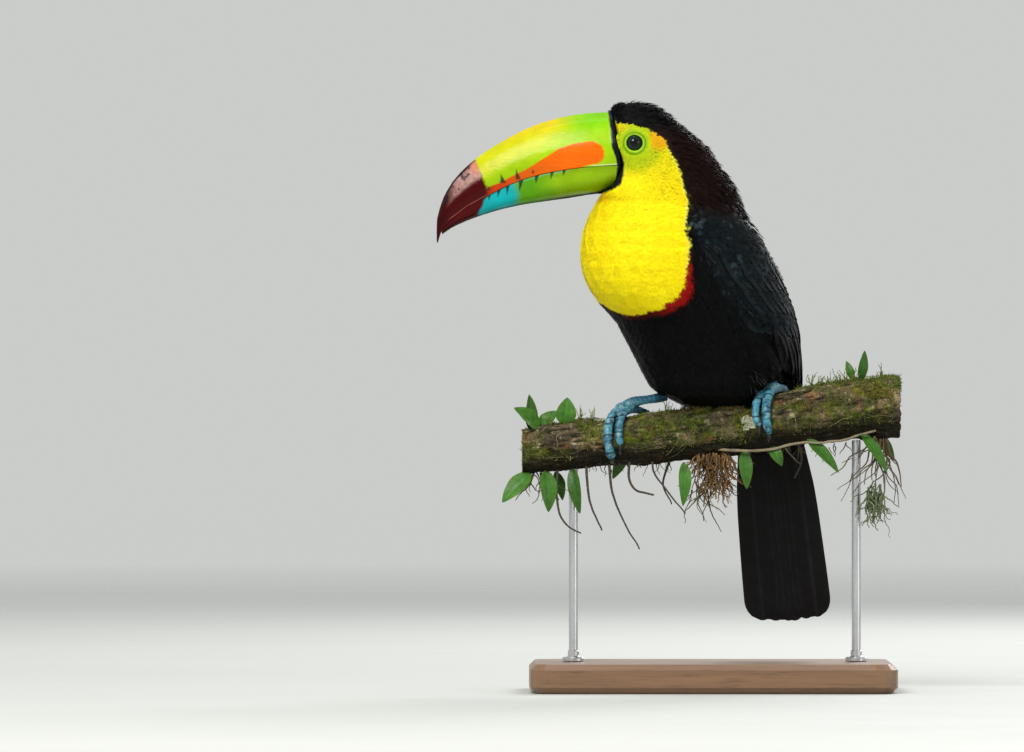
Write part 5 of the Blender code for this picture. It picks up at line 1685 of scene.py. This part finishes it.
CRUSTS = (    # along the perch, round it, width, height
    (-86, -8, 8, 1.9), (-78, 8, 5, 1.2), (8, -14, 11, 1.2), (25, 84, 6.5, 0.8), (122, -4, 8, 2.0),
    (112, 8, 7, 1.4), (-118, -30, 6, 0.7), (70, 200, 6, 0.7),
)
CRUST_RINGS = ((0, 0.5), (0.5, 0.55), (0.85, 0.8), (1.0, 1.0), (0.92, 0.75), (0.5, 0.2))    # reach and height
parts = []
for x, turn, wide, tall in CRUSTS:
    for _ in range(7):
        base, way = on_perch(x + rng.uniform(-0.5, 0.5) * wide, turn + rng.uniform(-9, 9), 0.1)
        span, angle = wide * rng.uniform(0.3, 0.62), circle(22)
        along = np.array((1.0, 0, 0))
        across = np.cross(way, along)
        around = along * np.cos(angle)[:, None] + across * np.sin(angle)[:, None] * 0.8
        ruffle = 1 + 0.22 * np.sin(angle * 5 + x) + 0.12 * np.sin(angle * 9 + turn)
        rows = []
        for k, (reach, height) in enumerate(CRUST_RINGS):
            wave = tall * height * (0.6 + 0.4 * np.sin(angle * 6 + k))
            rows.append(base + around * (span * reach * ruffle)[:, None] + way * wave[:, None])
        points = np.concatenate(rows) * MM
        tone = LICHEN_PALE * (0.85 + 0.3 * rng.random()) * (1 + 0.2 * rough(points, 0.002, 91))[:, None]
        parts.append((points, halved(ring_faces(len(rows), len(angle))), tone))
put("lichen", parts, LICHEN, "bark")

# --- The stand ---
WOOD = Look("stand wood", Coat_Weight=0.25, Coat_Roughness=0.25)
grain = WOOD.noise(62, 6, (0.07, 1, 1), 0.62)
pores = WOOD.noise(700, 3, (0.05, 1, 1))
tone = WOOD.blend((0.150, 0.076, 0.037, 1), (0.235, 0.125, 0.060, 1), WOOD.range(grain, 0.0, 1.0, 0.32, 0.68))
tone = WOOD.blend(tone, (0.05, 0.024, 0.012, 1), WOOD.range(pores, 0.0, 0.6, 0.55, 0.75))
polish = WOOD.range(grain, 0.34, 0.48, 0, 1)
WOOD.wire(Base_Color=tone, Roughness=polish, Normal=WOOD.bump(pores, 0.25, 0.0003))
STEEL = Look("stand steel", Metallic=1.0)
STEEL.wire(
    Base_Color=STEEL.blend((0.50, 0.50, 0.52, 1), (0.66, 0.66, 0.67, 1), STEEL.noise(120, 4)),
    Roughness=STEEL.range(STEEL.noise(1200, 3, (1, 1, 0.04)), 0.22, 0.40),
    Normal=STEEL.bump(STEEL.noise(2600, 2, (1, 1, 0.03)), 0.10, 0.0001),
)
COLLAR = (    # radius and height round a collar's section
    (3.45, 20.3), (7.4, 20.3), (7.8, 20.7), (7.8, 22.6), (7.2, 23.3), (4.6, 23.6), (4.0, 24.2), (4.0, 27.6),
    (3.45, 28.1), (3.3, 28.1),
)


def dress(name, look):
    NODES[name].data.materials.clear()
    NODES[name].data.materials.append(look.material)


dress("stand_base", WOOD)
NODES["stand_base"].data.shade_smooth()
NODES["stand_base"].data.set_sharp_from_angle(angle=math.radians(35))
turns = circle(40)
for rod in ("stand_rod_left", "stand_rod_right"):
    dress(rod, STEEL)
    low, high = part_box(rod)
    x = (low.x + high.x) / 2 / MM
    points = np.array([(x + r * math.cos(t), r * math.sin(t), z) for r, z in COLLAR for t in turns]) * MM
    faces = ring_faces(len(COLLAR), len(turns), wrap=True)[:, (1, 2, 3, 0)]
    piece(f"collar_{rod[10:]}", points, faces, STEEL, "stand_steel", sharp=30)

# --- Floor, light and camera ---
bpy.ops.mesh.primitive_circle_add(vertices=96, radius=6.5, fill_type="NGON", location=(0, 0, -0.0005))
floor = bpy.context.object
floor.name = "floor"
FLOOR = Look("floor", Specular_IOR_Level=0.2)
from_middle = FLOOR.add("VectorMath", dict(operation="LENGTH"), i0=FLOOR.place)["Value"]
FLOOR.wire(
    Base_Color=FLOOR.blend((0.50, 0.51, 0.49, 1), (0.54, 0.55, 0.53, 1), FLOOR.noise(3, 3)),
    Roughness=FLOOR.range(FLOOR.noise(9, 3), 0.6, 0.75),
    Alpha=FLOOR.range(from_middle, 1.0, 0.0, 1.2, 5.5),
)
floor.data.materials.append(FLOOR.material)

world = bpy.data.worlds.new("studio")
bpy.context.scene.world = world
world.use_nodes = True
world.node_tree.nodes["Background"].inputs["Color"].default_value = (0.80, 0.82, 0.80, 1)
world.node_tree.nodes["Background"].inputs["Strength"].default_value = 0.74


def lamp(name, place, aim, size, power, colour=(1, 1, 1)):
    light = bpy.data.lights.new(name, "AREA")
    light.shape = "DISK"
    light.size = size
    light.energy = power
    light.color = colour
    obj = bpy.data.objects.new(name, light)
    obj.location = place
    obj.rotation_euler = (Vector(aim) - Vector(place)).to_track_quat("-Z", "Y").to_euler()
    bpy.context.scene.collection.objects.link(obj)


lamp("key", (-1.05, -2.45, 2.35), (0, 0, 0.28), 1.5, 98, (1.0, 0.985, 0.95))
lamp("fill", (2.2, -1.6, 0.8), (0, 0, 0.25), 1.6, 12, (0.95, 0.98, 1.0))
lamp("back", (0.9, 2.1, 1.5), (0, 0, 0.3), 1.2, 40)
lamp("top", (-0.2, 0.1, 2.4), (0, 0, 0.3), 1.3, 9)

camera = bpy.data.cameras.new("camera")
camera.sensor_width = 36
camera.lens = 401.8
camera.clip_end = 60
camera.dof.use_dof = False
viewer = bpy.data.objects.new("camera", camera)
viewer.location = (-0.14, -8.0, 0.22)
viewer.rotation_euler = (math.radians(90), 0, 0)
bpy.context.scene.collection.objects.link(viewer)
bpy.context.scene.camera = viewer
bpy.context.scene.view_settings.view_transform = "Standard"

bpy.context.view_layer.update()
